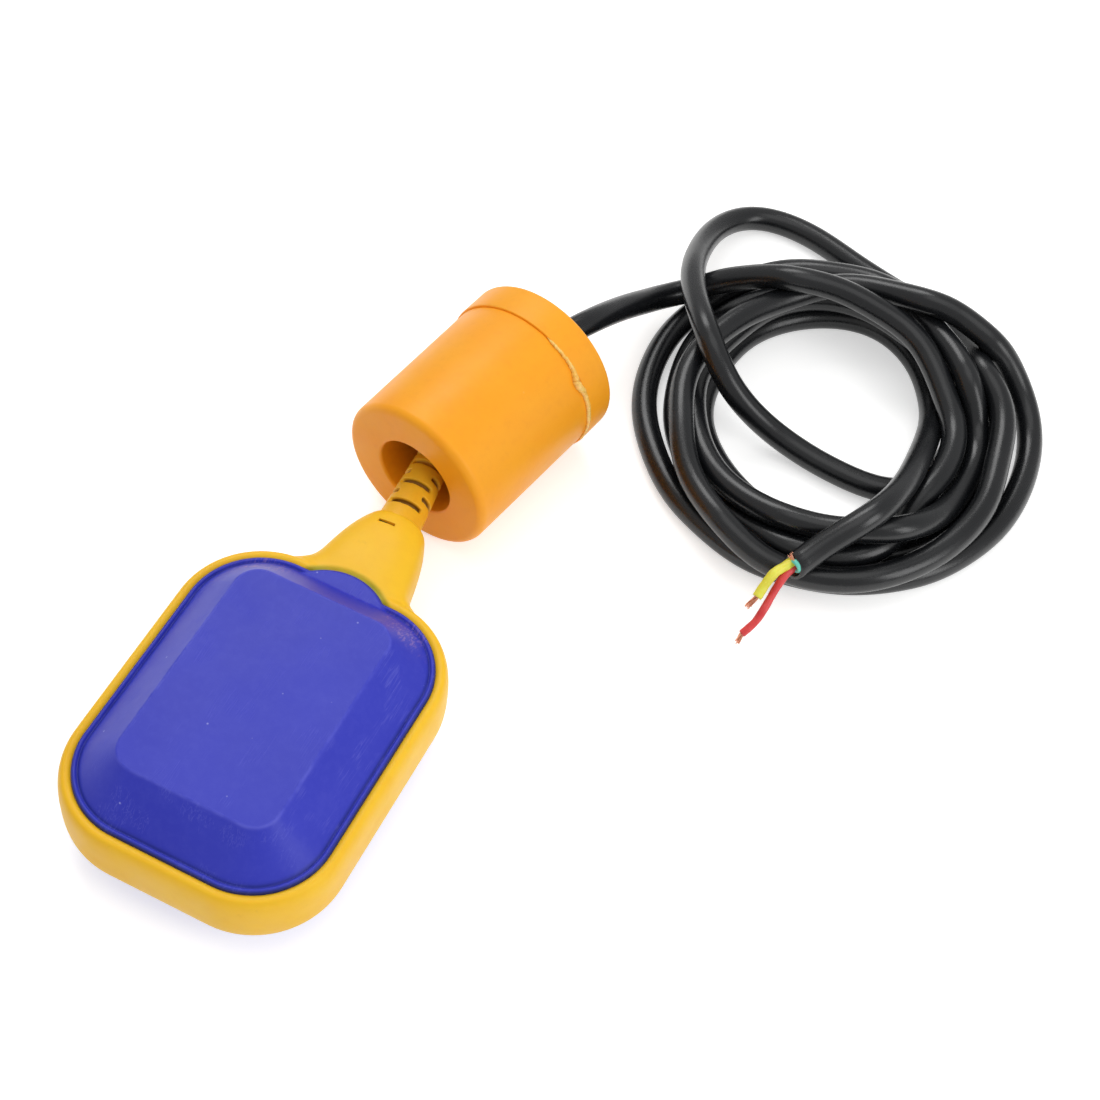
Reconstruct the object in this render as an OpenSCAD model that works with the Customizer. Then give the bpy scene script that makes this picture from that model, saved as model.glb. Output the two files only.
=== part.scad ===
// Cable float switch for a tank or sump: a flat float, a sliding counterweight and a coiled cable.
// Millimetres. Origin: bottom centre of the float and the counterweight. +Y runs from the float to
// the counterweight, +X toward the coil, +Z up. The float lies flat on its lower raised field.

/* [Float] */
// Room from the switch box to the float's side
side_room = 14; // [13:0.5:16]
// Room from the switch box to the float's end
end_room = 17.85; // [17:0.05:20]
// Thickness of the float over its two raised fields
float_t = 42; // [41:0.5:46]
// Corner radius of the float's outline
float_r = 25.5; // [24:0.5:28]
// Wall of the two shells
shell_wall = 2.4; // [2:0.1:2.8]
// Width of the raised field
field_w = 46; // [42:0.5:48]
// Length of the raised field
field_l = 69; // [66:0.5:72]
// Corner radius of the raised field
field_r = 7; // [5:0.5:10]
// Height of the shells' upright rim above the parting plane
rim_h = 9.2; // [8.6:0.1:10]
// Radius of the arched ear of the shells at the neck
ear_r = 17.2; // [16:0.2:18]

/* [Band and neck] */
// Step from the outline in to the shells' rim, which the band fills
band_inset = 3.7; // [3.4:0.1:4.2]
// Length of the neck beyond the float's outline
neck_l = 27.6; // [25:0.2:31]
// Width of the neck at its root
neck_w = 28; // [26:0.5:31]
// Thickness of the neck at its root
neck_t = 18; // [17:0.2:19]

/* [Cable] */
// Outer diameter of the cable sheath
cable_d = 8; // [7.6:0.1:8.2]
// Diameter of an insulated core
core_d = 2.6; // [2.2:0.1:2.8]
// Lean of the strain relief to the side, degrees
relief_side = 4; // [2:0.5:6]
// Lean of the strain relief upward, degrees
relief_up = 4; // [2:0.5:5]
// Length of the strain relief beyond its pivot in the neck
relief_l = 34; // [30:0.5:37]
// Diameter of the strain relief at the neck
relief_d = 13; // [12:0.2:13.6]
// Diameter of the strain relief at its tip
relief_tip_d = 10.4; // [9.8:0.1:11]
// Width of a slot of the strain relief
slot_w = 1.6; // [1.2:0.1:1.8]
// Distance between the rows of slots
slot_pitch = 3.8; // [3.4:0.1:4.2]

/* [Counterweight] */
// Radius of the body at the near edge
weight_r = 25; // [24:0.2:27]
// Length of the body up to the cap
weight_l = 49.7; // [46:0.5:54]
// Step of the cap out from the body
cap_step = 1; // [0.6:0.1:2]
// Length of the cap
cap_l = 11; // [10:0.2:12]
// Radius of the open bore
bore_r = 12.7; // [11.5:0.1:13.5]
// Turn of the counterweight away from the float's axis, degrees
weight_yaw = 11.5; // [6:0.5:13]
// Gap between the neck's tip and the counterweight
weight_gap = 14.9; // [12:0.5:20]

/* [Switch] */
// Radius of the steel ball
ball_r = 9; // [8.4:0.1:9]
// Travel of the steel ball
ball_travel = 20; // [18:0.5:20]
// Width of the snap switch
sw_w = 15.6; // [15:0.1:16.5]
// Length of the snap switch
sw_l = 27.8; // [27:0.1:29]
// Reach of the terminals out of the snap switch
blade_out = 4; // [3.6:0.1:4.6]

/* [Hidden] */

$fn = 64;
cable_r = cable_d / 2;
core_r = core_d / 2;
cap_r = weight_r + cap_step;

box_r = 8;
box_wall = 1.8;
head_gap = 2.4;
blade_gap = 0.8;
lever_gap = 4.6;
guide_gap = 0.4;
guide_t = 1.6;
guide_out = 3.4;
ball_seat = 0.4;
runout = 23.8;
box_h = 2 * box_wall + 2 * ball_r + head_gap;
box_w = 2 * box_wall + blade_gap + blade_out + sw_w + lever_gap + 2 * ball_r + guide_gap
    + guide_t + guide_out;
box_l = 2 * box_wall + ball_seat + 2 * ball_r + ball_travel + guide_gap + runout - 0.2;
float_w = box_w + 2 * side_room;
float_l = box_l + 2 * end_room;
mid = float_t / 2;
rim_w = float_w - 2 * band_inset;
rim_l = float_l - 2 * band_inset;
rim_r = float_r - band_inset;
slope_z = rim_h - 0.2;
slope_in = 1.6;
slope_w = rim_w - 2 * slope_in;
slope_l = rim_l - 2 * slope_in;
slope_r = rim_r - slope_in;
rise = mid - slope_z;
run_w = (slope_w - field_w) / 2;
run_l = (slope_l - field_l) / 2;
off_w = shell_wall * sqrt(run_w * run_w + rise * rise) / rise;
off_l = shell_wall * sqrt(run_l * run_l + rise * rise) / rise;
hollow_z = rim_h - shell_wall;
roof_z = mid - shell_wall;

function at_z(low, high, z) = high + (low - high) * (mid - z) / rise;

in_low_w = at_z(slope_w, field_w, hollow_z) - 2 * off_w;
in_low_l = at_z(slope_l, field_l, hollow_z) - 2 * off_l;
in_top_w = at_z(slope_w, field_w, roof_z) - 2 * off_w;
in_top_l = at_z(slope_l, field_l, roof_z) - 2 * off_l;
ear_y = float_l / 2 + 0.55 - ear_r;
ear_h = rim_h + 0.7;

neck_y = float_l / 2 + neck_l;
pivot_y = float_l / 2 + 19.15;
relief_root = 0.4;
relief_cyl = neck_y - pivot_y;

cap_edge = 1.5;
near_edge = 2.5;
pitch = asin((cap_r - weight_r) / (weight_l + cap_l - near_edge));
weight_x = -3.7;
weight_y = neck_y + weight_gap;
weight_z = weight_r * cos(pitch) - near_edge * sin(pitch);
weight_far = weight_y + (weight_l + cap_l - cap_edge) * cos(weight_yaw) * cos(pitch)
    + (cap_r - cap_edge) * sin(weight_yaw) + cap_edge;
float_y = -(weight_far - float_l / 2) / 2;
body_wall = 2.5;
body_end_r = weight_r + 0.4;
tube_r = bore_r + 2;
spigot_l = 3.7;
ring_l = 8;

floor_z = -box_h / 2 + box_wall;
lid_z = box_h / 2 - box_wall;
post_x = 17;
post_y = 24;

sw_x0 = -box_w / 2 + box_wall + blade_gap + blade_out;
sw_x1 = sw_x0 + sw_w;
sw_y1 = box_l / 2 - box_wall - 7.4;
sw_y0 = sw_y1 - sw_l;
ball_x = sw_x1 + lever_gap + ball_r;
ball_z = floor_z + ball_r + 0.1;
ball_y = -box_l / 2 + box_wall + ball_r + ball_seat;
sw_z0 = -6;
sw_z1 = 3.1;
sw_wall = 1.2;
sw_z = -1;
cover_t = 1.2;
hole_1 = [sw_x1 - 2.8, sw_y0 + 5];
hole_2 = [sw_x0 + 3.6, sw_y1 - 7.8];
stud_r = 1.45;
blade_x = sw_x0 - blade_out;
blade_t = 0.8;
blade_h = 4.8;
common_y = sw_y1 - 2.6;
open_y = sw_y0 + 14;
closed_y = sw_y0 + 3.2;
leaf_x = sw_x0 + 7.4;
lever_x = sw_x1 + 1.6;
lever_y = sw_y1 - 1.8;
lever_l = 24;
lever_lean = 14;
lever_t = 0.6;
lever_w = 4;
pin_r = 0.6;
button_y = sw_y1 - 9.8;
button_r = 1.3;
entry_y = box_l / 2 - 4;

relief_tip = [
    -relief_l * cos(relief_up) * sin(relief_side),
    pivot_y + relief_l * cos(relief_up) * cos(relief_side),
    mid + relief_l * sin(relief_up)];

function on_weight(l) = [
    weight_x + l * sin(weight_yaw) * cos(pitch),
    weight_y + l * cos(weight_yaw) * cos(pitch),
    weight_z + l * sin(pitch)];

function unit(v) = v / norm(v);
function mix(a, b, f) = a + (b - a) * f;
function heading(p, i) = i == 0 ? unit(p[1] - p[0])
    : i == len(p) - 1 ? unit(p[i] - p[i - 1])
    : unit(unit(p[i + 1] - p[i]) + unit(p[i] - p[i - 1]));
function ring_points(p, i, r, n, ref) =
    let (t = heading(p, i), u = unit(cross(t, ref)), v = cross(t, u))
    [for (k = [0:n - 1]) p[i] + r * (cos(360 * k / n) * u + sin(360 * k / n) * v)];
function side_faces(m, n) = [for (i = [0:m - 2]) for (k = [0:n - 1])
    [i * n + k, (i + 1) * n + k, (i + 1) * n + (k + 1) % n, i * n + (k + 1) % n]];

// Cable route behind the counterweight, part frame
lead_path = concat(
    [relief_tip + [0, float_y, 0],
    mix(relief_tip, on_weight(36), 0.09) + [-0.55, float_y, 0],
    mix(relief_tip, on_weight(36), 0.25) + [-1.1, float_y, 0],
    mix(relief_tip, on_weight(36), 0.46) + [-1.3, float_y, 0],
    mix(relief_tip, on_weight(36), 0.74) + [-0.7, float_y, 0]],
    [for (l = [36, 54, weight_l + cap_l + 11]) on_weight(l) + [0, float_y, 0]],
    [[14.7, 120.8, 25], [18.9, 135.6, 19], [24, 150.6, 12], [30, 164.2, 7], [38, 177, 4],
    [52, 187, 4], [66, 192, 4]]);
loop_path = [[125, 127, 6], [111, 119, 9], [100, 116, 13], [88, 115, 18], [75, 115, 24],
    [63, 118, 28], [54, 125, 30], [46, 137, 28], [38, 151, 22], [32, 165, 16], [29, 177, 11],
    [28, 188, 7], [29, 198, 5], [33, 206, 4], [42, 211, 4], [53, 212, 4], [64, 209, 4],
    [76, 203, 4], [86, 198, 5]];
tail_path = [[117, 165, 12], [121, 154, 16], [123, 140, 20], [123, 126, 22], [121, 111, 23],
    [117, 97, 23], [111, 84, 21], [104, 72, 16]];
red_path = [[103.2, 71.4, 13.4], [101.8, 66, 11], [101, 60, 8], [99.6, 53, 4.6]];
yellow_path = [[102, 72, 16], [100, 68.4, 14.4], [98.6, 64.4, 11.4], [97.2, 60.6, 8]];
green_path = [[104.9, 71.2, 16.4], [104.2, 70, 16]];
red_strands = [[99.6, 53, 4.6], [98.8, 50, 3.2], [98.2, 47, 2.2]];
yellow_strands = [[97.2, 60.6, 8], [96.6, 58, 6], [96.4, 54.6, 4.2]];
coil_x = 93;
coil_y = 137.4;
coil_in = 27;
coil_out = 67;

// Cores in the switch box, from the cable's end to the three blades, float's middle plane
red_inner = [[-1.34, entry_y, -0.78], [-3.5, 27.4, 0.2], [-9, 26.6, 1.5], [-15, 26.4, 2.8],
    [-19.5, 26.2, 4.6], [-21.6, 24, 5.4], [-21.6, 22, 4.6], [-21.4, common_y, 3.1],
    [-21.4, common_y, 1.42]];
yellow_inner = [[0, entry_y, 1.55], [-1.8, 27, 4.2], [-4.6, 24.4, 6.6], [-12, 17.5, 6.6],
    [-18.5, 12.6, 6.4], [-20.8, 11, 5.9], [-21.5, 10.3, 4.6], [-21.4, open_y, 3.1],
    [-21.4, open_y, 1.42]];
green_inner = [[1.34, entry_y, -0.78], [2.4, 26.2, 0.2], [1.6, 21, 5], [-3.6, 14, 6.8],
    [-11, 7, 6.8], [-18.2, 0.8, 6.6], [-20.8, -0.3, 5.9], [-21.5, -0.7, 4.6],
    [-21.4, closed_y, 3.1], [-21.4, closed_y, 1.42]];

// Plate with four rounded corners, from z = 0 up
module plate(w, l, r, h) {
    translate([-w / 2, -l / 2 + r, 0])
        cube([w, l - 2 * r, h]);
    translate([-w / 2 + r, -l / 2, 0])
        cube([w - 2 * r, l, h]);
    for (sx = [-1, 1])
        for (sy = [-1, 1])
            translate([sx * (w / 2 - r), sy * (l / 2 - r), 0])
                cylinder(r = r, h = h);
}

// Carries a section, drawn with x = 0 on the outline, once round a rounded rectangle
module ring_sweep(w, l, r) {
    for (k = [0:3]) {
        hx = k % 2 == 0 ? w / 2 : l / 2;
        hy = k % 2 == 0 ? l / 2 : w / 2;
        rotate([0, 0, 90 * k]) {
            translate([0, hy - r, 0])
                rotate([90, 0, 0])
                    linear_extrude(2 * (hy - r))
                        translate([hx, 0])
                            children();
            translate([hx - r, hy - r, 0])
                rotate_extrude(angle = 90)
                    translate([r, 0])
                        children();
        }
    }
}

// Frustum between two rounded plates
module slope(w1, l1, r1, z1, w2, l2, r2, z2) {
    hull() {
        translate([0, 0, z1])
            plate(w1, l1, r1, 0.01);
        translate([0, 0, z2 - 0.01])
            plate(w2, l2, r2, 0.01);
    }
}

module round_bar(p, r, n, ref) {
    m = len(p);
    points = [for (i = [0:m - 1]) each ring_points(p, i, r, n, ref)];
    faces = concat([[for (k = [0:n - 1]) k]], side_faces(m, n),
        [[for (k = [0:n - 1]) m * n - 1 - k]]);
    polyhedron(points = points, faces = faces, convexity = 6);
}

module along_y(r, y0, y1) {
    translate([0, y0, 0])
        rotate([-90, 0, 0])
            cylinder(r = r, h = y1 - y0);
}

module in_float() {
    translate([0, float_y, mid])
        children();
}

module in_relief() {
    translate([0, float_y + pivot_y, mid])
        rotate([0, 0, relief_side])
            rotate([relief_up, 0, 0])
                children();
}

// Local z runs along the counterweight's axis, from the near face to the cap
module in_weight() {
    translate([weight_x, weight_y + float_y, weight_z])
        rotate([0, 0, -weight_yaw])
            rotate([pitch - 90, 0, 0])
                children();
}

module ear_form(h) {
    intersection() {
        translate([0, ear_y, 0])
            cylinder(r = ear_r, h = h);
        translate([-ear_r, rim_l / 2 - shell_wall + 0.2, 0])
            cube([2 * ear_r, 12, h]);
    }
}

// One shell, its parting plane at z = 0
module shell_half() {
    difference() {
        union() {
            plate(rim_w, rim_l, rim_r, rim_h);
            slope(slope_w, slope_l, slope_r, slope_z, field_w, field_l, field_r, mid);
            ring_sweep(float_w, float_l, float_r)
                translate([-band_inset - 0.9, rim_h - 0.1])
                    circle(r = 0.7, $fn = 16);
            ear_form(ear_h);
        }
        translate([0, 0, -1])
            plate(rim_w - 2 * shell_wall, rim_l - 2 * shell_wall, rim_r - shell_wall,
                hollow_z + 1);
        slope(in_low_w, in_low_l, rim_r - shell_wall - 0.4, hollow_z - 0.01,
            in_top_w, in_top_l, field_r - 1, roof_z);
        along_y(cable_r + 0.15, rim_l / 2 - 6, rim_l / 2 + 8);
    }
    for (sx = [-1, 1])
        for (sy = [-1, 1])
            translate([sx * post_x, sy * post_y, box_h / 2])
                cylinder(r = 3, h = roof_z - box_h / 2 + 0.4, $fn = 32);
}

module float_shell_top() {
    color("#4348b8")
        in_float()
            shell_half();
}

module float_shell_bottom() {
    color("#4348b8")
        in_float()
            rotate([0, 180, 0])
                shell_half();
}

// Rounded slab across the neck at y, half width hw, half thickness ht, edge radius er
module neck_slab(y, hw, ht, er) {
    for (sx = [-1, 1])
        for (sz = [-1, 1])
            translate([sx * (hw - er), y, sz * (ht - er)])
                sphere(r = er, $fn = 24);
}

module neck_form() {
    ht = neck_t / 2;
    hull() {
        neck_slab(float_l / 2 - 5, neck_w / 2 + 1, ht - 0.2, 3.2);
        neck_slab(float_l / 2 + 3, neck_w / 2, ht, 3.4);
    }
    hull() {
        neck_slab(float_l / 2 + 3, neck_w / 2, ht, 3.4);
        neck_slab(float_l / 2 + 19, neck_w / 2 - 3, ht - 0.7, 3.4);
    }
    hull() {
        neck_slab(float_l / 2 + 19, neck_w / 2 - 3, ht - 0.7, 3.4);
        neck_slab(neck_y - 3.2, neck_w / 2 - 5.2, ht - 1.1, 3.2);
    }
}

module seal_band() {
    color("#f2c040")
        difference() {
            in_float()
                difference() {
                    union() {
                        ring_sweep(float_w, float_l, float_r)
                            polygon([[-band_inset, 8.2], [-3.2, 9], [-2.6, 9.25], [-2, 9.3],
                                [-1.3, 8.9], [-0.8, 8.2], [-0.4, 6.9], [-0.2, 5.5], [0, 2],
                                [0, -2], [-0.2, -5.5], [-0.4, -6.9], [-0.8, -8.2],
                                [-1.3, -8.9], [-2, -9.3], [-2.6, -9.25], [-3.2, -9],
                                [-band_inset, -8.2]]);
                        neck_form();
                    }
                    translate([0, 0, -12])
                        plate(rim_w, rim_l, rim_r, 24);
                    translate([0, 0, -ear_h])
                        ear_form(2 * ear_h);
                    along_y(cable_r, rim_l / 2 - 2, pivot_y);
                    translate([-4, neck_y - 6, neck_t / 2 - 2.4])
                        cube([5, 1.1, 5]);
                }
            in_relief()
                along_y(relief_d / 2, -relief_root, 20);
        }
}

module strain_relief() {
    r1 = relief_d / 2;
    r2 = relief_tip_d / 2;
    color("#efba3c")
        in_relief()
            difference() {
                rotate([-90, 0, 0])
                    rotate_extrude()
                        polygon([[cable_r, -relief_root], [r1, -relief_root], [r1, relief_cyl],
                            [r2, relief_l - 0.8], [r2 - 0.7, relief_l],
                            [cable_r, relief_l]]);
                for (j = [0:5])
                    for (s = [0, 180])
                        translate([0, relief_cyl + 4.4 + slot_pitch * j, 0])
                            rotate([-90, 0, 0])
                                rotate([0, 0, s + (j % 2 == 0 ? 0 : 90) + 37.5])
                                    rotate_extrude(angle = 105)
                                        translate([cable_r + 0.35, -slot_w / 2])
                                            square([4, slot_w]);
            }
}

module cable_entry() {
    color("#161617")
        in_float()
            round_bar([[0, entry_y, 0], [0, pivot_y, 0], relief_tip - [0, 0, mid]], cable_r, 24,
                [0, 0, 1]);
}

module entry_grommet() {
    y0 = box_l / 2 - box_wall;
    color("#2a2a2c")
        in_float()
            rotate([-90, 0, 0])
                rotate_extrude()
                    polygon([[cable_r, y0 - 1.3], [6.6, y0 - 1.3], [6.6, y0], [5.4, y0],
                        [5.4, y0 + box_wall], [7, y0 + box_wall], [7, y0 + 4.4],
                        [6, y0 + 5.4], [cable_r, y0 + 5.4]]);
}

module capsule_base() {
    color("#d8d8d2")
        in_float() {
            difference() {
                translate([0, 0, -box_h / 2])
                    plate(box_w, box_l, box_r, box_h - box_wall);
                translate([0, 0, floor_z])
                    plate(box_w - 2 * box_wall, box_l - 2 * box_wall, box_r - box_wall, box_h);
                along_y(5.4, box_l / 2 - box_wall - 1, box_l / 2 + 1);
            }
            translate([ball_x + ball_r + guide_gap, -box_l / 2 + 8, floor_z - 0.2])
                cube([guide_t, ball_travel + 14, 12]);
            translate([ball_x - ball_r + 0.6, -box_l / 2 + 6, floor_z - 0.2])
                cube([1.4, ball_travel + 14, 3.2]);
            translate([ball_x - 5.8, ball_y + ball_travel + ball_r + guide_gap, floor_z - 0.2])
                cube([14, guide_t, 10]);
            for (h = [hole_1, hole_2]) {
                translate([h[0], h[1], floor_z - 0.2])
                    cylinder(r = 3.2, h = sw_z0 - floor_z + 0.2, $fn = 32);
                translate([h[0], h[1], floor_z])
                    cylinder(r = stud_r, h = sw_z1 + cover_t - floor_z, $fn = 32);
            }
        }
}

module capsule_lid() {
    color("#d8d8d2")
        in_float() {
            translate([0, 0, lid_z])
                plate(box_w, box_l, box_r, box_wall);
            difference() {
                translate([0, 0, lid_z - 1.2])
                    plate(box_w - 2 * box_wall - 0.3, box_l - 2 * box_wall - 0.3, 6, 1.4);
                translate([0, 0, lid_z - 2])
                    plate(box_w - 2 * box_wall - 3.3, box_l - 2 * box_wall - 3.3, 4.5, 2);
            }
        }
}

module steel_ball() {
    color("#c4c7cc")
        in_float()
            translate([ball_x, ball_y, ball_z])
                sphere(r = ball_r);
}

module switch_case() {
    color("#303035")
        in_float()
            difference() {
                union() {
                    difference() {
                        translate([sw_x0, sw_y0, sw_z0])
                            cube([sw_x1 - sw_x0, sw_y1 - sw_y0, sw_z1 - sw_z0]);
                        difference() {
                            translate([sw_x0 + sw_wall, sw_y0 + sw_wall, sw_z0 + sw_wall])
                                cube([sw_x1 - sw_x0 - 2 * sw_wall, sw_y1 - sw_y0 - 2 * sw_wall,
                                    sw_z1 - sw_z0]);
                            for (h = [hole_1, hole_2])
                                translate([h[0], h[1], sw_z0])
                                    cylinder(r = 2.5, h = sw_z1 - sw_z0, $fn = 32);
                        }
                    }
                    for (z = [sw_z - lever_w / 2 - 1.6, sw_z + lever_w / 2 + 0.3])
                        translate([0, 0, z]) {
                            translate([lever_x, lever_y, 0])
                                cylinder(r = 1.5, h = 1.3, $fn = 32);
                            translate([sw_x1 - 0.5, lever_y - 1.5, 0])
                                cube([lever_x - sw_x1 + 0.5, 3, 1.3]);
                        }
                }
                for (h = [hole_1, hole_2])
                    translate([h[0], h[1], sw_z0 - 1])
                        cylinder(r = stud_r + 0.1, h = 20, $fn = 32);
                for (y = [common_y, open_y, closed_y])
                    translate([sw_x0 - 1, y - blade_t / 2, sw_z - blade_h / 2])
                        cube([sw_wall + 2, blade_t, blade_h]);
                translate([sw_x1 - sw_wall - 1, button_y, sw_z])
                    rotate([0, 90, 0])
                        cylinder(r = button_r + 0.06, h = sw_wall + 3, $fn = 32);
                translate([lever_x, lever_y, sw_z - 5])
                    cylinder(r = pin_r, h = 10, $fn = 24);
            }
}

module switch_cover() {
    color("#3b3b41")
        in_float()
            difference() {
                translate([sw_x0, sw_y0, sw_z1])
                    cube([sw_x1 - sw_x0, sw_y1 - sw_y0, cover_t]);
                for (h = [hole_1, hole_2])
                    translate([h[0], h[1], sw_z1 - 1])
                        cylinder(r = stud_r + 0.1, h = 5, $fn = 32);
            }
}

// Leaf spring with its moving contact
module switch_spring() {
    color("#c9a24a")
        in_float() {
            translate([leaf_x - 0.2, closed_y + 1, sw_z - 1.6])
                cube([0.4, common_y - blade_t / 2 - closed_y - 1, 3.2]);
            translate([leaf_x - 0.8, closed_y + 2.6, sw_z])
                rotate([0, 90, 0])
                    cylinder(r = 1.2, h = 1.6, $fn = 24);
        }
}

module switch_lever() {
    color("#b9bcc2")
        in_float()
            translate([lever_x, lever_y, sw_z - lever_w / 2])
                difference() {
                    union() {
                        cylinder(r = 1.1, h = lever_w, $fn = 32);
                        rotate([0, 0, lever_lean])
                            translate([-lever_t / 2, -lever_l, 0])
                                cube([lever_t, lever_l - 0.85, lever_w]);
                    }
                    translate([0, 0, -1])
                        cylinder(r = pin_r + 0.05, h = lever_w + 2, $fn = 24);
                }
}

module lever_pin() {
    color("#9a9da3")
        in_float()
            translate([lever_x, lever_y, sw_z - lever_w / 2 - 1.6])
                cylinder(r = pin_r, h = lever_w + 3.2, $fn = 24);
}

module switch_button() {
    color("#c43b31")
        in_float()
            translate([sw_x1 - 3.4, button_y, sw_z])
                rotate([0, 90, 0]) {
                    cylinder(r = button_r, h = 6.35, $fn = 32);
                    translate([0, 0, 0.8])
                        cylinder(r = 2.1, h = 1, $fn = 32);
                }
}

module blade(y, x1) {
    translate([blade_x, y - blade_t / 2, sw_z - blade_h / 2])
        cube([x1 - blade_x, blade_t, blade_h]);
}

module terminal_common() {
    color("#cfb36a")
        in_float()
            blade(common_y, leaf_x + 0.2);
}

module terminal_open() {
    color("#cfb36a")
        in_float() {
            blade(open_y, leaf_x - 2.2);
            translate([leaf_x - 2.2, open_y, sw_z])
                rotate([0, 90, 0])
                    cylinder(r = 1.2, h = 0.7, $fn = 24);
        }
}

module terminal_closed() {
    color("#cfb36a")
        in_float() {
            blade(closed_y, leaf_x + 2.2);
            translate([leaf_x + 1.4, closed_y, sw_z - blade_h / 2])
                cube([0.8, 4.4, blade_h]);
            translate([leaf_x + 0.8, closed_y + 2.6, sw_z])
                rotate([0, 90, 0])
                    cylinder(r = 1.2, h = 0.8, $fn = 24);
        }
}

module core_red_inner() {
    color("#b3262b")
        in_float()
            round_bar(red_inner, core_r, 12, [1, -1, 0]);
}

module core_yellow_inner() {
    color("#d9b22c")
        in_float()
            round_bar(yellow_inner, core_r, 12, [1, -1, 0]);
}

module core_green_inner() {
    color("#1f9a86")
        in_float()
            round_bar(green_inner, core_r, 12, [1, -1, 0]);
}

module weight_body() {
    color("#f39a45")
        in_weight()
            rotate_extrude($fn = 96)
                polygon(concat(
                    [[bore_r, 0.8], [bore_r + 0.8, 0]],
                    [for (a = [-90:15:0]) [weight_r - near_edge + near_edge * cos(a),
                        near_edge + near_edge * sin(a)]],
                    [[body_end_r, weight_l], [body_end_r - body_wall, weight_l],
                    [weight_r - body_wall, 3.5], [tube_r, 3.5], [tube_r, weight_l],
                    [bore_r, weight_l]]));
}

module weight_cap() {
    far = weight_l + cap_l;
    spigot_r = body_end_r - body_wall - 0.1;
    color("#f6a04c")
        in_weight()
            rotate_extrude($fn = 96)
                polygon(concat(
                    [[cap_r, weight_l]],
                    [for (a = [0:15:90]) [cap_r - cap_edge + cap_edge * cos(a),
                        far - cap_edge + cap_edge * sin(a)]],
                    [[cable_r + 1.2, far], [cable_r + 0.6, far - 0.6],
                    [cable_r + 0.6, far - 3.5], [spigot_r - 2.2, far - 3.5],
                    [spigot_r - 2.2, weight_l - spigot_l], [spigot_r, weight_l - spigot_l],
                    [spigot_r, weight_l]]));
}

module weight_core() {
    color("#5b5c60")
        in_weight()
            translate([0, 0, 3.5])
                difference() {
                    cylinder(r = weight_r - body_wall - 0.2, h = weight_l - 3.5 - spigot_l - 0.4,
                        $fn = 96);
                    translate([0, 0, -1])
                        cylinder(r = tube_r + 0.4, h = 80);
                }
}

module stop_ring() {
    color("#d9dade")
        in_weight()
            translate([0, 0, weight_l - ring_l - 0.2])
                difference() {
                    cylinder(r = bore_r - 0.3, h = ring_l);
                    translate([0, 0, -1])
                        cylinder(r = cable_r + 0.05, h = 20);
                }
}

module cable_lead() {
    color("#161617")
        round_bar(lead_path, cable_r, 12, [0, 0, 1]);
}

module cable_loop() {
    color("#161617")
        round_bar(loop_path, cable_r, 12, [0, 0, 1]);
}

module cable_tail() {
    color("#161617")
        round_bar(tail_path, cable_r, 12, [0, 0, 1]);
}

// The coil as one ring solid, the loops lie within it
module cable_coil() {
    color("#1b1b1d")
        translate([coil_x, coil_y, 0])
            rotate_extrude($fn = 96)
                polygon([[coil_in, 2], [coil_in + 2, 0], [coil_out - 2, 0], [coil_out, 2],
                    [coil_out, 8], [coil_out - 3, 12], [coil_out - 12, 20], [coil_in + 16, 22],
                    [coil_in + 4, 18], [coil_in, 12]]);
}

module core_red() {
    color("#b3262b")
        round_bar(red_path, core_r, 12, [0, 0, 1]);
}

module core_yellow() {
    color("#d9b22c")
        round_bar(yellow_path, core_r, 12, [0, 0, 1]);
}

module core_green() {
    color("#1f9a86")
        round_bar(green_path, core_r, 12, [0, 0, 1]);
}

module strands_red() {
    color("#c98566")
        round_bar(red_strands, 0.9, 10, [0, 0, 1]);
}

module strands_yellow() {
    color("#c98566")
        round_bar(yellow_strands, 0.9, 10, [0, 0, 1]);
}

float_shell_top();
float_shell_bottom();
seal_band();
strain_relief();
cable_entry();
entry_grommet();
capsule_base();
capsule_lid();
steel_ball();
switch_case();
switch_cover();
switch_spring();
switch_lever();
lever_pin();
switch_button();
terminal_common();
terminal_open();
terminal_closed();
core_red_inner();
core_yellow_inner();
core_green_inner();
weight_body();
weight_cap();
weight_core();
stop_ring();
cable_lead();
cable_loop();
cable_coil();
cable_tail();
core_red();
core_yellow();
core_green();
strands_red();
strands_yellow();
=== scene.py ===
import math

import bpy
import bmesh
import numpy as np
from mathutils import Matrix, Vector


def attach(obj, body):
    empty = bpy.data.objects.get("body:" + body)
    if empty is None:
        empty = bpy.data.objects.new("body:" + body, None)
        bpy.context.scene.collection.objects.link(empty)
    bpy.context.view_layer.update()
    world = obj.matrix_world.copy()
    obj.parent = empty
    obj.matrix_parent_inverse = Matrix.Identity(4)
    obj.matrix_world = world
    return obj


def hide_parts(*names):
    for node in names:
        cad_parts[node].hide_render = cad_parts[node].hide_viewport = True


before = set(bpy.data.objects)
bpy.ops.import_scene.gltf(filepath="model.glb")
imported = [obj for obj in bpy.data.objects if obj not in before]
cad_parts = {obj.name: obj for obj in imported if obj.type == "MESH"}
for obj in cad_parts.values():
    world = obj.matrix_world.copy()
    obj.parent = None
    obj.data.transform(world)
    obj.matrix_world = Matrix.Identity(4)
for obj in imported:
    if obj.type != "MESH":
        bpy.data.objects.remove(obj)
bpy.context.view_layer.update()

MM = 0.001

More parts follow.
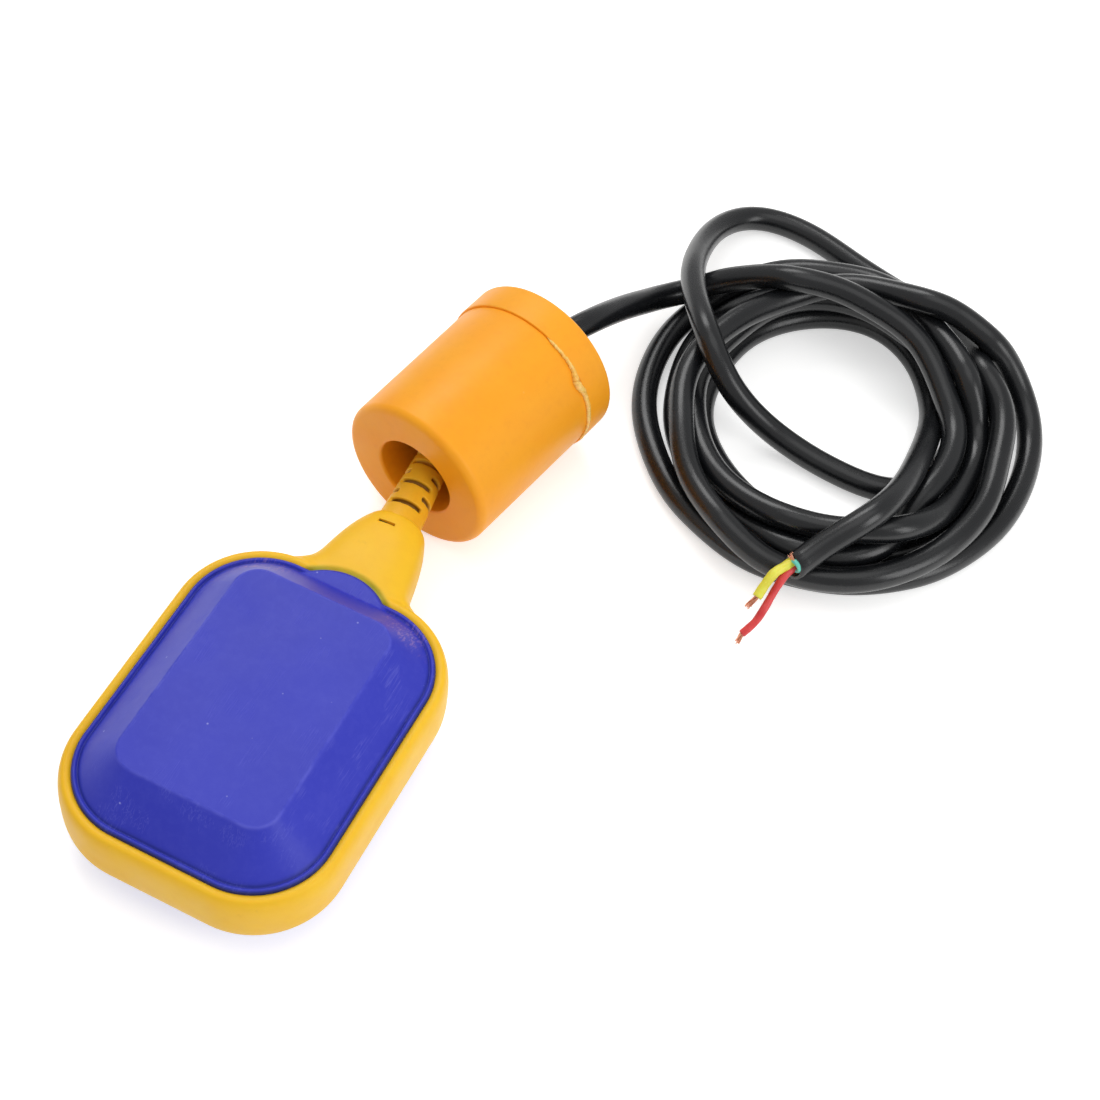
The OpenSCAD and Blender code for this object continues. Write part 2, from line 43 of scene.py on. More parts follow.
# Sizes repeated from the part's source, in millimetres
FLOAT_W, FLOAT_L, FLOAT_R = 80.0, 101.7, 25.5
MID = 21.0
BAND_INSET = 3.7
FLOAT_Y = -53.44375
FIELD_W, FIELD_L, FIELD_R = 46.0, 69.0, 7.0
SLOPE_Z, SLOPE_IN = 9.0, 1.6
EAR_R, EAR_Y, EAR_H = 17.2, 34.2, 9.9
SLOT_X, SLOT_Y = -1.6, 72.9
SHELL_WALL = 2.4
NECK_Y = 78.45
PIVOT_Y = 70.0
RELIEF_SIDE, RELIEF_UP, RELIEF_L = 4.0, 4.0, 34.0
WEIGHT_AT = (-3.7, 93.35, 24.957)
WEIGHT_YAW, WEIGHT_PITCH = 11.5, 0.98451
WEIGHT_R, WEIGHT_L = 25.0, 49.7
CAP_R, CAP_L = 26.0, 11.0
BORE_R = 12.7
CABLE_D = 8.0

# Camera, part frame, millimetres and degrees
CAMERA_AT = (154.4, -290.24, 499.3)
CAMERA_DOWN = 53.94
CAMERA_LENS = 67.85


# ---------------------------------------------------------------- helpers

def in_float():
    return Matrix.Translation((0, FLOAT_Y * MM, MID * MM)) @ Matrix.Scale(MM, 4)


def in_relief():
    turn = Matrix.Rotation(math.radians(RELIEF_SIDE), 4, "Z") @ Matrix.Rotation(math.radians(RELIEF_UP), 4, "X")
    return Matrix.Translation((0, (FLOAT_Y + PIVOT_Y) * MM, MID * MM)) @ turn @ Matrix.Scale(MM, 4)


def in_weight():
    turn = (Matrix.Rotation(math.radians(-WEIGHT_YAW), 4, "Z")
            @ Matrix.Rotation(math.radians(WEIGHT_PITCH - 90), 4, "X"))
    at = Matrix.Translation((WEIGHT_AT[0] * MM, (WEIGHT_AT[1] + FLOAT_Y) * MM, WEIGHT_AT[2] * MM))
    return at @ turn @ Matrix.Scale(MM, 4)


def mesh_object(name, points, faces, place=None, smooth=True):
    mesh = bpy.data.meshes.new(name)
    mesh.from_pydata([tuple(map(float, p)) for p in points], [], [tuple(map(int, f)) for f in faces])
    if place is not None:
        mesh.transform(place)
    mesh.update()
    if smooth:
        mesh.polygons.foreach_set("use_smooth", [True] * len(mesh.polygons))
    piece = bpy.data.objects.new(name, mesh)
    bpy.context.collection.objects.link(piece)
    return piece


def mend_normals(piece):
    bm = bmesh.new()
    bm.from_mesh(piece.data)
    bmesh.ops.remove_doubles(bm, verts=bm.verts, dist=1e-7)
    bmesh.ops.recalc_face_normals(bm, faces=bm.faces)
    bm.to_mesh(piece.data)
    bm.free()


def loft(loops, closed=True):
    """Points and faces of a skin over loops of equal length, with a fan at each end."""
    n = len(loops[0])
    points = [p for loop in loops for p in loop]
    faces = []
    for i in range(len(loops) - 1):
        for k in range(n):
            j = (k + 1) % n
            faces.append((i * n + k, i * n + j, (i + 1) * n + j, (i + 1) * n + k))
    if closed:
        for end, flip in ((0, True), (len(loops) - 1, False)):
            centre = np.mean([loops[end][k] for k in range(n)], axis=0)
            points.append(tuple(centre))
            c = len(points) - 1
            for k in range(n):
                j = (k + 1) % n
                face = (end * n + k, end * n + j, c)
                faces.append(face[::-1] if flip else face)
    return points, faces


def lathe(profile, sides=192):
    """Closed skin of a profile of (r, z) turned about z; the profile is a closed ring."""
    n = len(profile)
    points, faces = [], []
    for k in range(sides):
        a = 2 * math.pi * k / sides
        c, s = math.cos(a), math.sin(a)
        points += [(r * c, r * s, z) for r, z in profile]
    for k in range(sides):
        m = (k + 1) % sides
        for i in range(n):
            j = (i + 1) % n
            faces.append((k * n + i, m * n + i, m * n + j, k * n + j))
    return points, faces


def arc(cx, cz, r, a0, a1, steps):
    return [(cx + r * math.cos(math.radians(a)), cz + r * math.sin(math.radians(a)))
            for a in np.linspace(a0, a1, steps)]


def catmull(points, step):
    """Evenly spaced points on a smooth curve through the given ones."""
    p = np.asarray(points, float)
    n = len(p)
    d = np.maximum(np.linalg.norm(np.diff(p, axis=0), axis=1), 1e-3) ** 0.5
    t = np.concatenate([[0], np.cumsum(d)])
    m = np.zeros_like(p)
    for i in range(n):
        a, b = max(i - 1, 0), min(i + 1, n - 1)
        if i in (a, b):
            m[i] = (p[b] - p[a]) / (t[b] - t[a])
        else:
            m[i] = ((p[i] - p[a]) / (t[i] - t[a]) - (p[b] - p[a]) / (t[b] - t[a])
                    + (p[b] - p[i]) / (t[b] - t[i]))
    out = []
    for i in range(n - 1):
        h = t[i + 1] - t[i]
        u = np.linspace(0, 1, 12, endpoint=False)[:, None]
        out.append((2 * u ** 3 - 3 * u ** 2 + 1) * p[i] + (u ** 3 - 2 * u ** 2 + u) * h * m[i]
                   + (-2 * u ** 3 + 3 * u ** 2) * p[i + 1] + (u ** 3 - u ** 2) * h * m[i + 1])
    q = np.vstack(out + [p[-1:]])
    s = np.concatenate([[0], np.cumsum(np.linalg.norm(np.diff(q, axis=0), axis=1))])
    k = np.linspace(0, s[-1], max(2, int(round(s[-1] / step)) + 1))
    return np.stack([np.interp(k, s, q[:, c]) for c in range(3)], 1)


def tube(path, radius, sides, cap_start=True, cap_end=True, twist=0.0):
    """Round tube along a path; radius is a number or one for each point. Returns points, faces and uv rows."""
    path = np.asarray(path, float)
    n = len(path)
    tangents = np.gradient(path, axis=0)
    tangents /= np.linalg.norm(tangents, axis=1)[:, None]
    ref = np.cross(tangents[0], (0, 0, 1.0))
    ref /= np.linalg.norm(ref)
    radius = np.broadcast_to(np.asarray(radius, float), (n,))
    points, rows = [], []
    length = np.concatenate([[0], np.cumsum(np.linalg.norm(np.diff(path, axis=0), axis=1))])
    for i in range(n):
        ref = ref - tangents[i] * ref.dot(tangents[i])
        ref /= np.linalg.norm(ref)
        side = np.cross(tangents[i], ref)
        for k in range(sides):
            a = 2 * math.pi * k / sides + twist * length[i]
            points.append(path[i] + radius[i] * (math.cos(a) * ref + math.sin(a) * side))
        rows.append(length[i])
    faces = []
    for i in range(n - 1):
        for k in range(sides):
            j = (k + 1) % sides
            faces.append((i * sides + k, i * sides + j, (i + 1) * sides + j, (i + 1) * sides + k))
    if cap_start:
        faces.append(tuple(range(sides))[::-1])
    if cap_end:
        faces.append(tuple(range((n - 1) * sides, n * sides)))
    return points, faces, rows


def remesh(piece, voxel, rounds, factor=0.5):
    """Joins a piece's closed parts into one skin and evens it out."""
    step = piece.modifiers.new("join", "REMESH")
    step.mode = "VOXEL"
    step.voxel_size = voxel * MM
    step.use_smooth_shade = True
    even = piece.modifiers.new("even", "SMOOTH")
    even.factor = factor
    even.iterations = rounds
    bpy.context.view_layer.update()
    graph = bpy.context.evaluated_depsgraph_get()
    done = bpy.data.meshes.new_from_object(piece.evaluated_get(graph))
    piece.modifiers.clear()
    old = piece.data
    piece.data = done
    bpy.data.meshes.remove(old)
    piece.data.polygons.foreach_set("use_smooth", [True] * len(piece.data.polygons))


def vertex_array(mesh):
    co = np.empty(len(mesh.vertices) * 3)
    mesh.vertices.foreach_get("co", co)
    return co.reshape(-1, 3)


# ---------------------------------------------------------------- materials

class Nodes:
    """A small builder for one material's nodes."""

    def __init__(self, name):
        self.material = bpy.data.materials.new(name)
        self.material.use_nodes = True
        self.tree = self.material.node_tree
        self.tree.nodes.clear()
        self.out = self.add("ShaderNodeOutputMaterial")
        self.shader = self.add("ShaderNodeBsdfPrincipled")
        self.link(self.shader.outputs[0], self.out.inputs[0])
        self.place = self.add("ShaderNodeTexCoord").outputs["Object"]

    def add(self, kind, **values):
        node = self.tree.nodes.new(kind)
        for key, value in values.items():
            setattr(node, key, value)
        return node

    def link(self, a, b):
        self.tree.links.new(a, b)

    def set(self, **values):
        for key, value in values.items():
            self.shader.inputs[key.replace("_", " ")].default_value = value

    def noise(self, scale, detail=4.0, rough=0.5, stretch=None, distortion=0.0, coordinates=None):
        node = self.add("ShaderNodeTexNoise")
        node.inputs["Scale"].default_value = scale
        node.inputs["Detail"].default_value = detail
        node.inputs["Roughness"].default_value = rough
        node.inputs["Distortion"].default_value = distortion
        self.link(self.mapped(stretch, coordinates), node.inputs["Vector"])
        return node.outputs[0]

    def mapped(self, stretch=None, coordinates=None, turn=(0, 0, 0), shift=(0, 0, 0)):
        source = coordinates or self.place
        if stretch is None and turn == (0, 0, 0) and shift == (0, 0, 0):
            return source
        node = self.add("ShaderNodeMapping")
        node.inputs["Scale"].default_value = stretch or (1, 1, 1)
        node.inputs["Rotation"].default_value = turn
        node.inputs["Location"].default_value = shift
        self.link(source, node.inputs["Vector"])
        return node.outputs[0]

    def ramp(self, value, stops, colours=False, kind="LINEAR"):
        node = self.add("ShaderNodeValToRGB")
        node.color_ramp.interpolation = kind
        elements = node.color_ramp.elements
        while len(elements) < len(stops):
            elements.new(0.5)
        for element, (at, value_at) in zip(elements, stops):
            element.position = at
            element.color = (*value_at, 1) if colours else (value_at, value_at, value_at, 1)
        self.link(value, node.inputs[0])
        return node.outputs[0]

    def range(self, value, low, high, to_low, to_high, smooth=False):
        node = self.add("ShaderNodeMapRange")
        node.interpolation_type = "SMOOTHSTEP" if smooth else "LINEAR"
        for k, v in zip((1, 2, 3, 4), (low, high, to_low, to_high)):
            node.inputs[k].default_value = v
        self.link(value, node.inputs[0])
        return node.outputs[0]

    def math(self, kind, a, b=None, c=None):
        node = self.add("ShaderNodeMath", operation=kind)
        for k, v in enumerate((a, b, c)):
            if v is None:
                continue
            if isinstance(v, (int, float)):
                node.inputs[k].default_value = v
            else:
                self.link(v, node.inputs[k])
        return node.outputs[0]

    def mix(self, factor, a, b, kind="MIX"):
        node = self.add("ShaderNodeMix", data_type="RGBA", blend_type=kind)
        node.clamp_factor = True
        if isinstance(factor, (int, float)):
            node.inputs[0].default_value = factor
        else:
            self.link(factor, node.inputs[0])
        for k, v in ((6, a), (7, b)):
            if isinstance(v, tuple):
                node.inputs[k].default_value = (*v, 1)
            else:
                self.link(v, node.inputs[k])
        return node.outputs[2]

    def bump(self, height, strength, distance=0.0002, normal=None):
        node = self.add("ShaderNodeBump")
        node.inputs["Strength"].default_value = strength
        node.inputs["Distance"].default_value = distance
        self.link(height, node.inputs["Height"])
        if normal is not None:
            self.link(normal, node.inputs["Normal"])
        return node.outputs[0]

    def xyz(self, coordinates=None):
        node = self.add("ShaderNodeSeparateXYZ")
        self.link(coordinates or self.place, node.inputs[0])
        return node.outputs

    def finish(self, colour=None, roughness=None, normal=None):
        if colour is not None:
            self.link(colour, self.shader.inputs["Base Color"])
        if roughness is not None:
            self.link(roughness, self.shader.inputs["Roughness"])
        if normal is not None:
            self.link(normal, self.shader.inputs["Normal"])
        return self.material


def scratches(n, scale, amount, turn, seed_shift):
    """Thin broken hairlines as a 0..1 mask."""
    where = n.mapped((scale, scale * 0.05, scale * 0.4), None, turn, seed_shift)
    waves = n.add("ShaderNodeTexNoise")
    waves.inputs["Scale"].default_value = 1.0
    waves.inputs["Detail"].default_value = 2.0
    n.link(where, waves.inputs["Vector"])
    thin = n.range(waves.outputs[0], 0.5 - amount, 0.5, 0.0, 1.0)
    back = n.range(waves.outputs[0], 0.5, 0.5 + amount, 1.0, 0.0)
    line = n.math("MULTIPLY", thin, back)
    breaks = n.range(n.noise(110, 2, 0.5), 0.52, 0.62, 0.0, 1.0)
    return n.math("MULTIPLY", line, breaks)


def specks(n, scale, size, keep):
    """Small sparse dots as a 0..1 mask."""
    cells = n.add("ShaderNodeTexVoronoi")
    cells.inputs["Scale"].default_value = scale
    n.link(n.place, cells.inputs["Vector"])
    dot = n.range(cells.outputs["Distance"], size * 0.5, size, 1.0, 0.0)
    parts = n.add("ShaderNodeSeparateColor")
    n.link(cells.outputs["Color"], parts.inputs[0])
    chosen = n.math("GREATER_THAN", parts.outputs[0], 1.0 - keep)
    return n.math("MULTIPLY", dot, chosen)


def blue_shell():
    n = Nodes("shell_blue")
    x, y, z = n.xyz()
    patch = n.noise(28, 3, 0.55)
    colour = n.mix(n.range(patch, 0.35, 0.65, 0.0, 1.0), (0.027, 0.035, 0.455), (0.034, 0.043, 0.495))
    fine = n.noise(420, 3, 0.6)
    colour = n.mix(n.range(fine, 0.45, 0.75, 0.0, 0.16), colour, (0.070, 0.082, 0.56))
    dust = n.range(n.noise(95, 5, 0.7), 0.55, 0.85, 0.0, 0.10)
    colour = n.mix(dust, colour, (0.14, 0.15, 0.62))
    # painted highlight: a paler line along the edge of the raised field
    painted_edge_highlight = n.add("ShaderNodeAttribute", attribute_name="painted_edge_highlight").outputs["Fac"]
    painted_edge_highlight = n.math("MULTIPLY", painted_edge_highlight, n.range(n.noise(130, 3, 0.6), 0.35, 0.6, 0.25, 0.9))
    colour = n.mix(n.math("MULTIPLY", painted_edge_highlight, 0.42), colour, (0.17, 0.18, 0.72))
    # painted shade: a dark line in the groove and against the band
    painted_groove_shade = n.add("ShaderNodeAttribute", attribute_name="painted_groove_shade").outputs["Fac"]
    colour = n.mix(n.math("MULTIPLY", painted_groove_shade, 0.88), colour, (0.008, 0.018, 0.09))
    # rubbed hatch at both shoulders beside the arch
    ax = n.math("ABSOLUTE", x)
    along = n.range(ax, 0.012, 0.016, 0.0, 1.0, True)
    along = n.math("MULTIPLY", along, n.range(ax, 0.024, 0.033, 1.0, 0.0, True))
    across = n.range(y, -0.0205, -0.0165, 0.0, 1.0, True)
    across = n.math("MULTIPLY", across, n.range(y, -0.0100, -0.0060, 1.0, 0.0, True))
    shoulder = n.math("MULTIPLY", along, across)
    hatch = n.noise(1, 2, 0.5, (2300, 260, 600))
    hatch = n.range(hatch, 0.50, 0.62, 0.0, 1.0)
    hatch = n.math("MULTIPLY", n.math("MULTIPLY", hatch, shoulder), n.range(n.noise(150, 3, 0.6), 0.4, 0.6, 0.15, 0.8))
    colour = n.mix(n.math("MULTIPLY", hatch, 0.8), colour, (0.32, 0.20, 0.46))
    hair = n.math("ADD", scratches(n, 900, 0.022, (0, 0, 0.5), (3, 1, 0)), scratches(n, 700, 0.02, (0, 0, -0.9), (7, 2, 5)))
    colour = n.mix(n.math("MULTIPLY", hair, 0.14), colour, (0.22, 0.23, 0.72))
    dots = specks(n, 330, 0.12, 0.06)
    colour = n.mix(n.math("MULTIPLY", dots, 0.5), colour, (0.40, 0.42, 0.80))
    rough = n.range(n.noise(60, 4, 0.6), 0.3, 0.7, 0.36, 0.44)
    rough = n.math("ADD", rough, n.math("MULTIPLY", hair, 0.2))
    height = n.math("ADD", n.math("MULTIPLY", n.noise(240, 4, 0.6), 0.35), n.math("MULTIPLY", n.noise(38, 3, 0.5), 1.2))
    height = n.math("SUBTRACT", height, n.math("MULTIPLY", hair, 0.12))
    height = n.math("ADD", height, n.math("MULTIPLY", hatch, 0.3))
    n.set(Specular_IOR_Level=0.28)
    return n.finish(colour, rough, n.bump(height, 0.12, 0.0004))


def yellow_rubber():
    n = Nodes("band_yellow")
    x, y, z = n.xyz()
    patch = n.range(n.noise(22, 3, 0.5), 0.35, 0.65, 0.0, 1.0)
    colour = n.mix(patch, (0.90, 0.50, 0.016), (0.95, 0.56, 0.026))
    fine = n.range(n.noise(300, 4, 0.6), 0.45, 0.8, 0.0, 0.20)
    colour = n.mix(fine, colour, (0.80, 0.40, 0.02))
    # partly painted shade of the gap round the arch, partly the blue shell showing through the thin lip there
    cx = n.math("MULTIPLY", x, x)
    dy = n.math("SUBTRACT", y, (FLOAT_Y + EAR_Y) * MM)
    r = n.math("SQRT", n.math("ADD", cx, n.math("MULTIPLY", dy, dy)))
    lip = n.range(r, (EAR_R + 0.2) * MM, (EAR_R + 2.4) * MM, 1.0, 0.0, True)
    lip = n.math("MULTIPLY", lip, n.math("GREATER_THAN", r, (EAR_R - 1.0) * MM))
    lip = n.math("MULTIPLY", lip, n.range(n.math("ABSOLUTE", n.math("SUBTRACT", z, MID * MM)), 0.0065, 0.0085, 0.0, 1.0, True))
    lip = n.math("MULTIPLY", lip, n.range(n.noise(90, 2, 0.5), 0.3, 0.7, 0.4, 0.85))
    colour = n.mix(lip, colour, (0.20, 0.30, 0.03))
    stain = n.range(n.noise(170, 5, 0.7), 0.62, 0.75, 0.0, 0.14)
    colour = n.mix(stain, colour, (0.42, 0.22, 0.03))
    # painted shade inside the small slot beside the strain relief
    inside = n.math("MULTIPLY", n.math("GREATER_THAN", y, (FLOAT_Y + SLOT_Y - 1.2) * MM),
                    n.math("LESS_THAN", y, (FLOAT_Y + SLOT_Y + 1.2) * MM))
    inside = n.math("MULTIPLY", inside, n.math("LESS_THAN", z, (MID + 6.9) * MM))
    inside = n.math("MULTIPLY", inside, n.math("GREATER_THAN", z, (MID + 3.0) * MM))
    inside = n.math("MULTIPLY", inside, n.math("LESS_THAN", n.math("ABSOLUTE", n.math("SUBTRACT", x, SLOT_X * MM)), 2.7 * MM))
    colour = n.mix(inside, colour, (0.030, 0.030, 0.060))
    rough = n.range(n.noise(80, 4, 0.6), 0.3, 0.7, 0.36, 0.50)
    height = n.math("ADD", n.math("MULTIPLY", n.noise(420, 3, 0.6), 0.3), n.noise(45, 3, 0.5))
    n.set(Specular_IOR_Level=0.24, Subsurface_Weight=0.08, Subsurface_Scale=0.002)
    return n.finish(colour, rough, n.bump(height, 0.12, 0.0004))


def relief_rubber():
    n = Nodes("relief_yellow")
    patch = n.range(n.noise(60, 3, 0.5), 0.35, 0.65, 0.0, 1.0)
    colour = n.mix(patch, (0.86, 0.42, 0.012), (0.90, 0.48, 0.018))
    fine = n.range(n.noise(520, 4, 0.6), 0.45, 0.8, 0.0, 0.25)
    colour = n.mix(fine, colour, (0.66, 0.30, 0.015))
    # painted shade in the slots, darker where they are deeper
    painted_slot_shade = n.add("ShaderNodeAttribute", attribute_name="painted_slot_shade").outputs["Fac"]
    colour = n.mix(painted_slot_shade, colour, (0.24, 0.105, 0.008))
    rough = n.range(n.noise(160, 4, 0.6), 0.3, 0.7, 0.38, 0.52)
    n.set(Specular_IOR_Level=0.30, Subsurface_Weight=0.02, Subsurface_Scale=0.001)
    return n.finish(colour, rough, n.bump(n.noise(600, 3, 0.6), 0.16, 0.0003))


def orange_shell():
    n = Nodes("weight_orange")
    patch = n.range(n.noise(30, 4, 0.6, None, 0.6), 0.35, 0.65, 0.0, 1.0)
    colour = n.mix(patch, (0.985, 0.350, 0.006), (1.0, 0.395, 0.010))
    cloud = n.range(n.noise(12, 3, 0.5), 0.5, 0.75, 0.0, 0.35)
    colour = n.mix(cloud, colour, (0.99, 0.44, 0.04))
    fine = n.range(n.noise(380, 4, 0.65), 0.5, 0.8, 0.0, 0.18)
    colour = n.mix(fine, colour, (0.78, 0.25, 0.02))
    dots = specks(n, 190, 0.13, 0.08)
    colour = n.mix(n.math("MULTIPLY", dots, 0.55), colour, (1.0, 0.66, 0.28))
    rough = n.range(n.noise(70, 4, 0.6), 0.3, 0.7, 0.38, 0.50)
    height = n.math("ADD", n.math("MULTIPLY", n.noise(320, 3, 0.6), 0.3), n.noise(36, 3, 0.5))
    n.set(Specular_IOR_Level=0.30, Subsurface_Weight=0.04, Subsurface_Scale=0.004)
    return n.finish(colour, rough, n.bump(height, 0.16, 0.0005))


def glue():
    n = Nodes("glue_amber")
    colour = n.mix(n.range(n.noise(300, 4, 0.6), 0.3, 0.7, 0.0, 1.0), (0.95, 0.46, 0.05), (1.0, 0.68, 0.20))
    rough = n.range(n.noise(240, 3, 0.5), 0.3, 0.7, 0.12, 0.28)
    n.set(Specular_IOR_Level=0.55, Subsurface_Weight=0.15, Subsurface_Scale=0.002)
    return n.finish(colour, rough, n.bump(n.noise(700, 4, 0.6), 0.35, 0.0003))


def sheath(name="sheath_black"):
    n = Nodes(name)
    coordinates = n.add("ShaderNodeTexCoord").outputs["UV"]
    patch = n.range(n.noise(45, 3, 0.5), 0.35, 0.65, 0.0, 1.0)
    colour = n.mix(patch, (0.0050, 0.0056, 0.0068), (0.0085, 0.0092, 0.0105))
    dust = n.range(n.noise(420, 5, 0.7), 0.60, 0.80, 0.0, 0.22)
    colour = n.mix(dust, colour, (0.05, 0.049, 0.047))
    drawn = n.noise(1, 3, 0.6, (60, 9, 1), 0.0, coordinates)
    rough = n.range(n.math("ADD", n.math("MULTIPLY", drawn, 0.5), n.math("MULTIPLY", n.noise(60, 3, 0.6), 0.5)),
                    0.35, 0.65, 0.22, 0.32)
    height = n.math("ADD", n.math("MULTIPLY", drawn, 0.35), n.math("MULTIPLY", n.noise(110, 3, 0.5), 0.9))
    n.set(Specular_IOR_Level=0.50)
    return n.finish(colour, rough, n.bump(height, 0.16, 0.0003))


def core_plastic(name, dark, light, rough_low=0.34):
    n = Nodes(name)
    patch = n.range(n.noise(200, 3, 0.5), 0.35, 0.65, 0.0, 1.0)
    colour = n.mix(patch, dark, light)
    scuff = n.range(n.noise(900, 4, 0.7), 0.58, 0.75, 0.0, 0.25)
    colour = n.mix(scuff, colour, tuple(min(1.0, c + 0.22) for c in light))
    rough = n.range(n.noise(400, 3, 0.5), 0.3, 0.7, rough_low, rough_low + 0.14)
    n.set(Specular_IOR_Level=0.42, Subsurface_Weight=0.08, Subsurface_Scale=0.001)
    return n.finish(colour, rough, n.bump(n.noise(900, 3, 0.5), 0.18, 0.0002))


def copper():
    n = Nodes("copper")
    tarnish = n.range(n.noise(900, 4, 0.6), 0.35, 0.7, 0.0, 1.0)
    colour = n.mix(tarnish, (0.90, 0.47, 0.33), (0.70, 0.30, 0.18))
    rough = n.range(n.noise(1500, 3, 0.5), 0.3, 0.7, 0.24, 0.42)
    n.set(Metallic=1.0)
    return n.finish(colour, rough, n.bump(n.noise(2600, 2, 0.5), 0.12, 0.0001))


def metal(name, dark, light, rough_low, scale=300):
    n = Nodes(name)
    colour = n.mix(n.range(n.noise(scale, 5, 0.6), 0.35, 0.65, 0.0, 1.0), dark, light)
    rough = n.range(n.noise(scale * 2, 4, 0.6), 0.3, 0.7, rough_low, rough_low + 0.14)
    n.set(Metallic=1.0)
    return n.finish(colour, rough, n.bump(n.noise(scale * 4, 3, 0.6), 0.10, 0.0001))


def moulding(name, dark, light, rough_low, scale=240):
    n = Nodes(name)
    colour = n.mix(n.range(n.noise(scale * 0.3, 3, 0.5), 0.35, 0.65, 0.0, 1.0), dark, light)
    fleck = n.range(n.noise(scale * 3, 4, 0.7), 0.58, 0.8, 0.0, 0.2)
    colour = n.mix(fleck, colour, tuple(min(1.0, c * 1.35 + 0.01) for c in light))
    rough = n.range(n.noise(scale, 4, 0.6), 0.3, 0.7, rough_low, rough_low + 0.14)
    n.set(Specular_IOR_Level=0.4)
    return n.finish(colour, rough, n.bump(n.noise(scale * 2.5, 3, 0.6), 0.14, 0.0002))


def cast_iron():
    n = Nodes("ballast_iron")
    colour = n.mix(n.range(n.noise(160, 5, 0.65), 0.35, 0.65, 0.0, 1.0), (0.075, 0.074, 0.078), (0.16, 0.155, 0.15))
    rust = n.range(n.noise(70, 5, 0.7), 0.60, 0.72, 0.0, 0.5)
    colour = n.mix(rust, colour, (0.22, 0.09, 0.04))
    rough = n.range(n.noise(200, 4, 0.6), 0.3, 0.7, 0.55, 0.75)
    n.set(Metallic=0.7)
    return n.finish(colour, rough, n.bump(n.noise(500, 5, 0.7), 0.4, 0.0004))


MATERIALS = {
    "shell_blue": blue_shell(),
    "band_yellow": yellow_rubber(),
    "relief_yellow": relief_rubber(),
    "weight_orange": orange_shell(),
    "glue": glue(),
    "sheath_black": sheath(),
    "grommet_black": moulding("grommet_black", (0.014, 0.014, 0.015), (0.026, 0.026, 0.027), 0.50),
    "box_grey": moulding("box_grey", (0.55, 0.55, 0.52), (0.64, 0.64, 0.61), 0.38),
    "switch_black": moulding("switch_black", (0.020, 0.020, 0.024), (0.036, 0.036, 0.042), 0.36),
    "button_red": moulding("button_red", (0.46, 0.030, 0.022), (0.56, 0.045, 0.032), 0.30),
    "ring_white": moulding("ring_white", (0.62, 0.62, 0.64), (0.70, 0.70, 0.72), 0.34),
    "core_red": core_plastic("core_red", (0.62, 0.035, 0.040), (0.78, 0.075, 0.075)),
    "core_yellow": core_plastic("core_yellow", (0.72, 0.66, 0.045), (0.84, 0.80, 0.090)),
    "core_green": core_plastic("core_green", (0.10, 0.58, 0.46), (0.24, 0.74, 0.62)),
    "copper": copper(),
    "ball_steel": metal("ball_steel", (0.56, 0.57, 0.59), (0.66, 0.67, 0.69), 0.10, 120),
    "lever_steel": metal("lever_steel", (0.50, 0.51, 0.53), (0.60, 0.61, 0.63), 0.26, 420),
    "spring_brass": metal("spring_brass", (0.66, 0.45, 0.16), (0.78, 0.56, 0.22), 0.24, 420),
    "blade_brass": metal("blade_brass", (0.70, 0.52, 0.22), (0.82, 0.63, 0.30), 0.26, 420),
    "ballast_iron": cast_iron(),
}


def dress(piece, slot, material=None):
    piece.data.materials.clear()
    piece.data.materials.append(MATERIALS[material or slot])


# ---------------------------------------------------------------- camera

down = math.radians(CAMERA_DOWN)
forward = Vector((-0.3260 * math.cos(down), 0.9454 * math.cos(down), -math.sin(down))).normalized()
right = Vector((0.9454, 0.3260, 0.0)).normalized()
up = right.cross(forward)
roll = math.atan2(0.1511, 0.9885)
axis_x = math.cos(roll) * right + math.sin(roll) * up
axis_y = -math.sin(roll) * right + math.cos(roll) * up
turn = Matrix((axis_x, axis_y, -forward)).transposed().to_4x4()
camera_data = bpy.data.cameras.new("camera")
camera_data.lens = CAMERA_LENS
camera_data.sensor_fit = "HORIZONTAL"
camera_data.sensor_width = 36.0
camera_data.clip_start = 0.01
camera_data.clip_end = 20.0
camera = bpy.data.objects.new("camera", camera_data)
camera.matrix_world = Matrix.Translation(Vector(CAMERA_AT) * MM) @ turn
bpy.context.collection.objects.link(camera)
bpy.context.scene.camera = camera
bpy.context.scene.view_settings.view_transform = "Standard"


# ---------------------------------------------------------------- cable

# Run from the strain relief to the floor: x, y, z in the part frame
LEAD = [
    (-2.4, 50.4, 23.4), (-2.6, 55.0, 23.8), (-2.0, 60.0, 24.2), (-0.4, 66.0, 24.9), (3.5, 75.2, 25.6),
    (7.1, 92.8, 25.9), (10.6, 110.2, 26.2), (14.7, 120.8, 25.0), (18.9, 135.6, 19.0), (24.0, 150.6, 12.0),
    (30.0, 164.2, 7.0)]
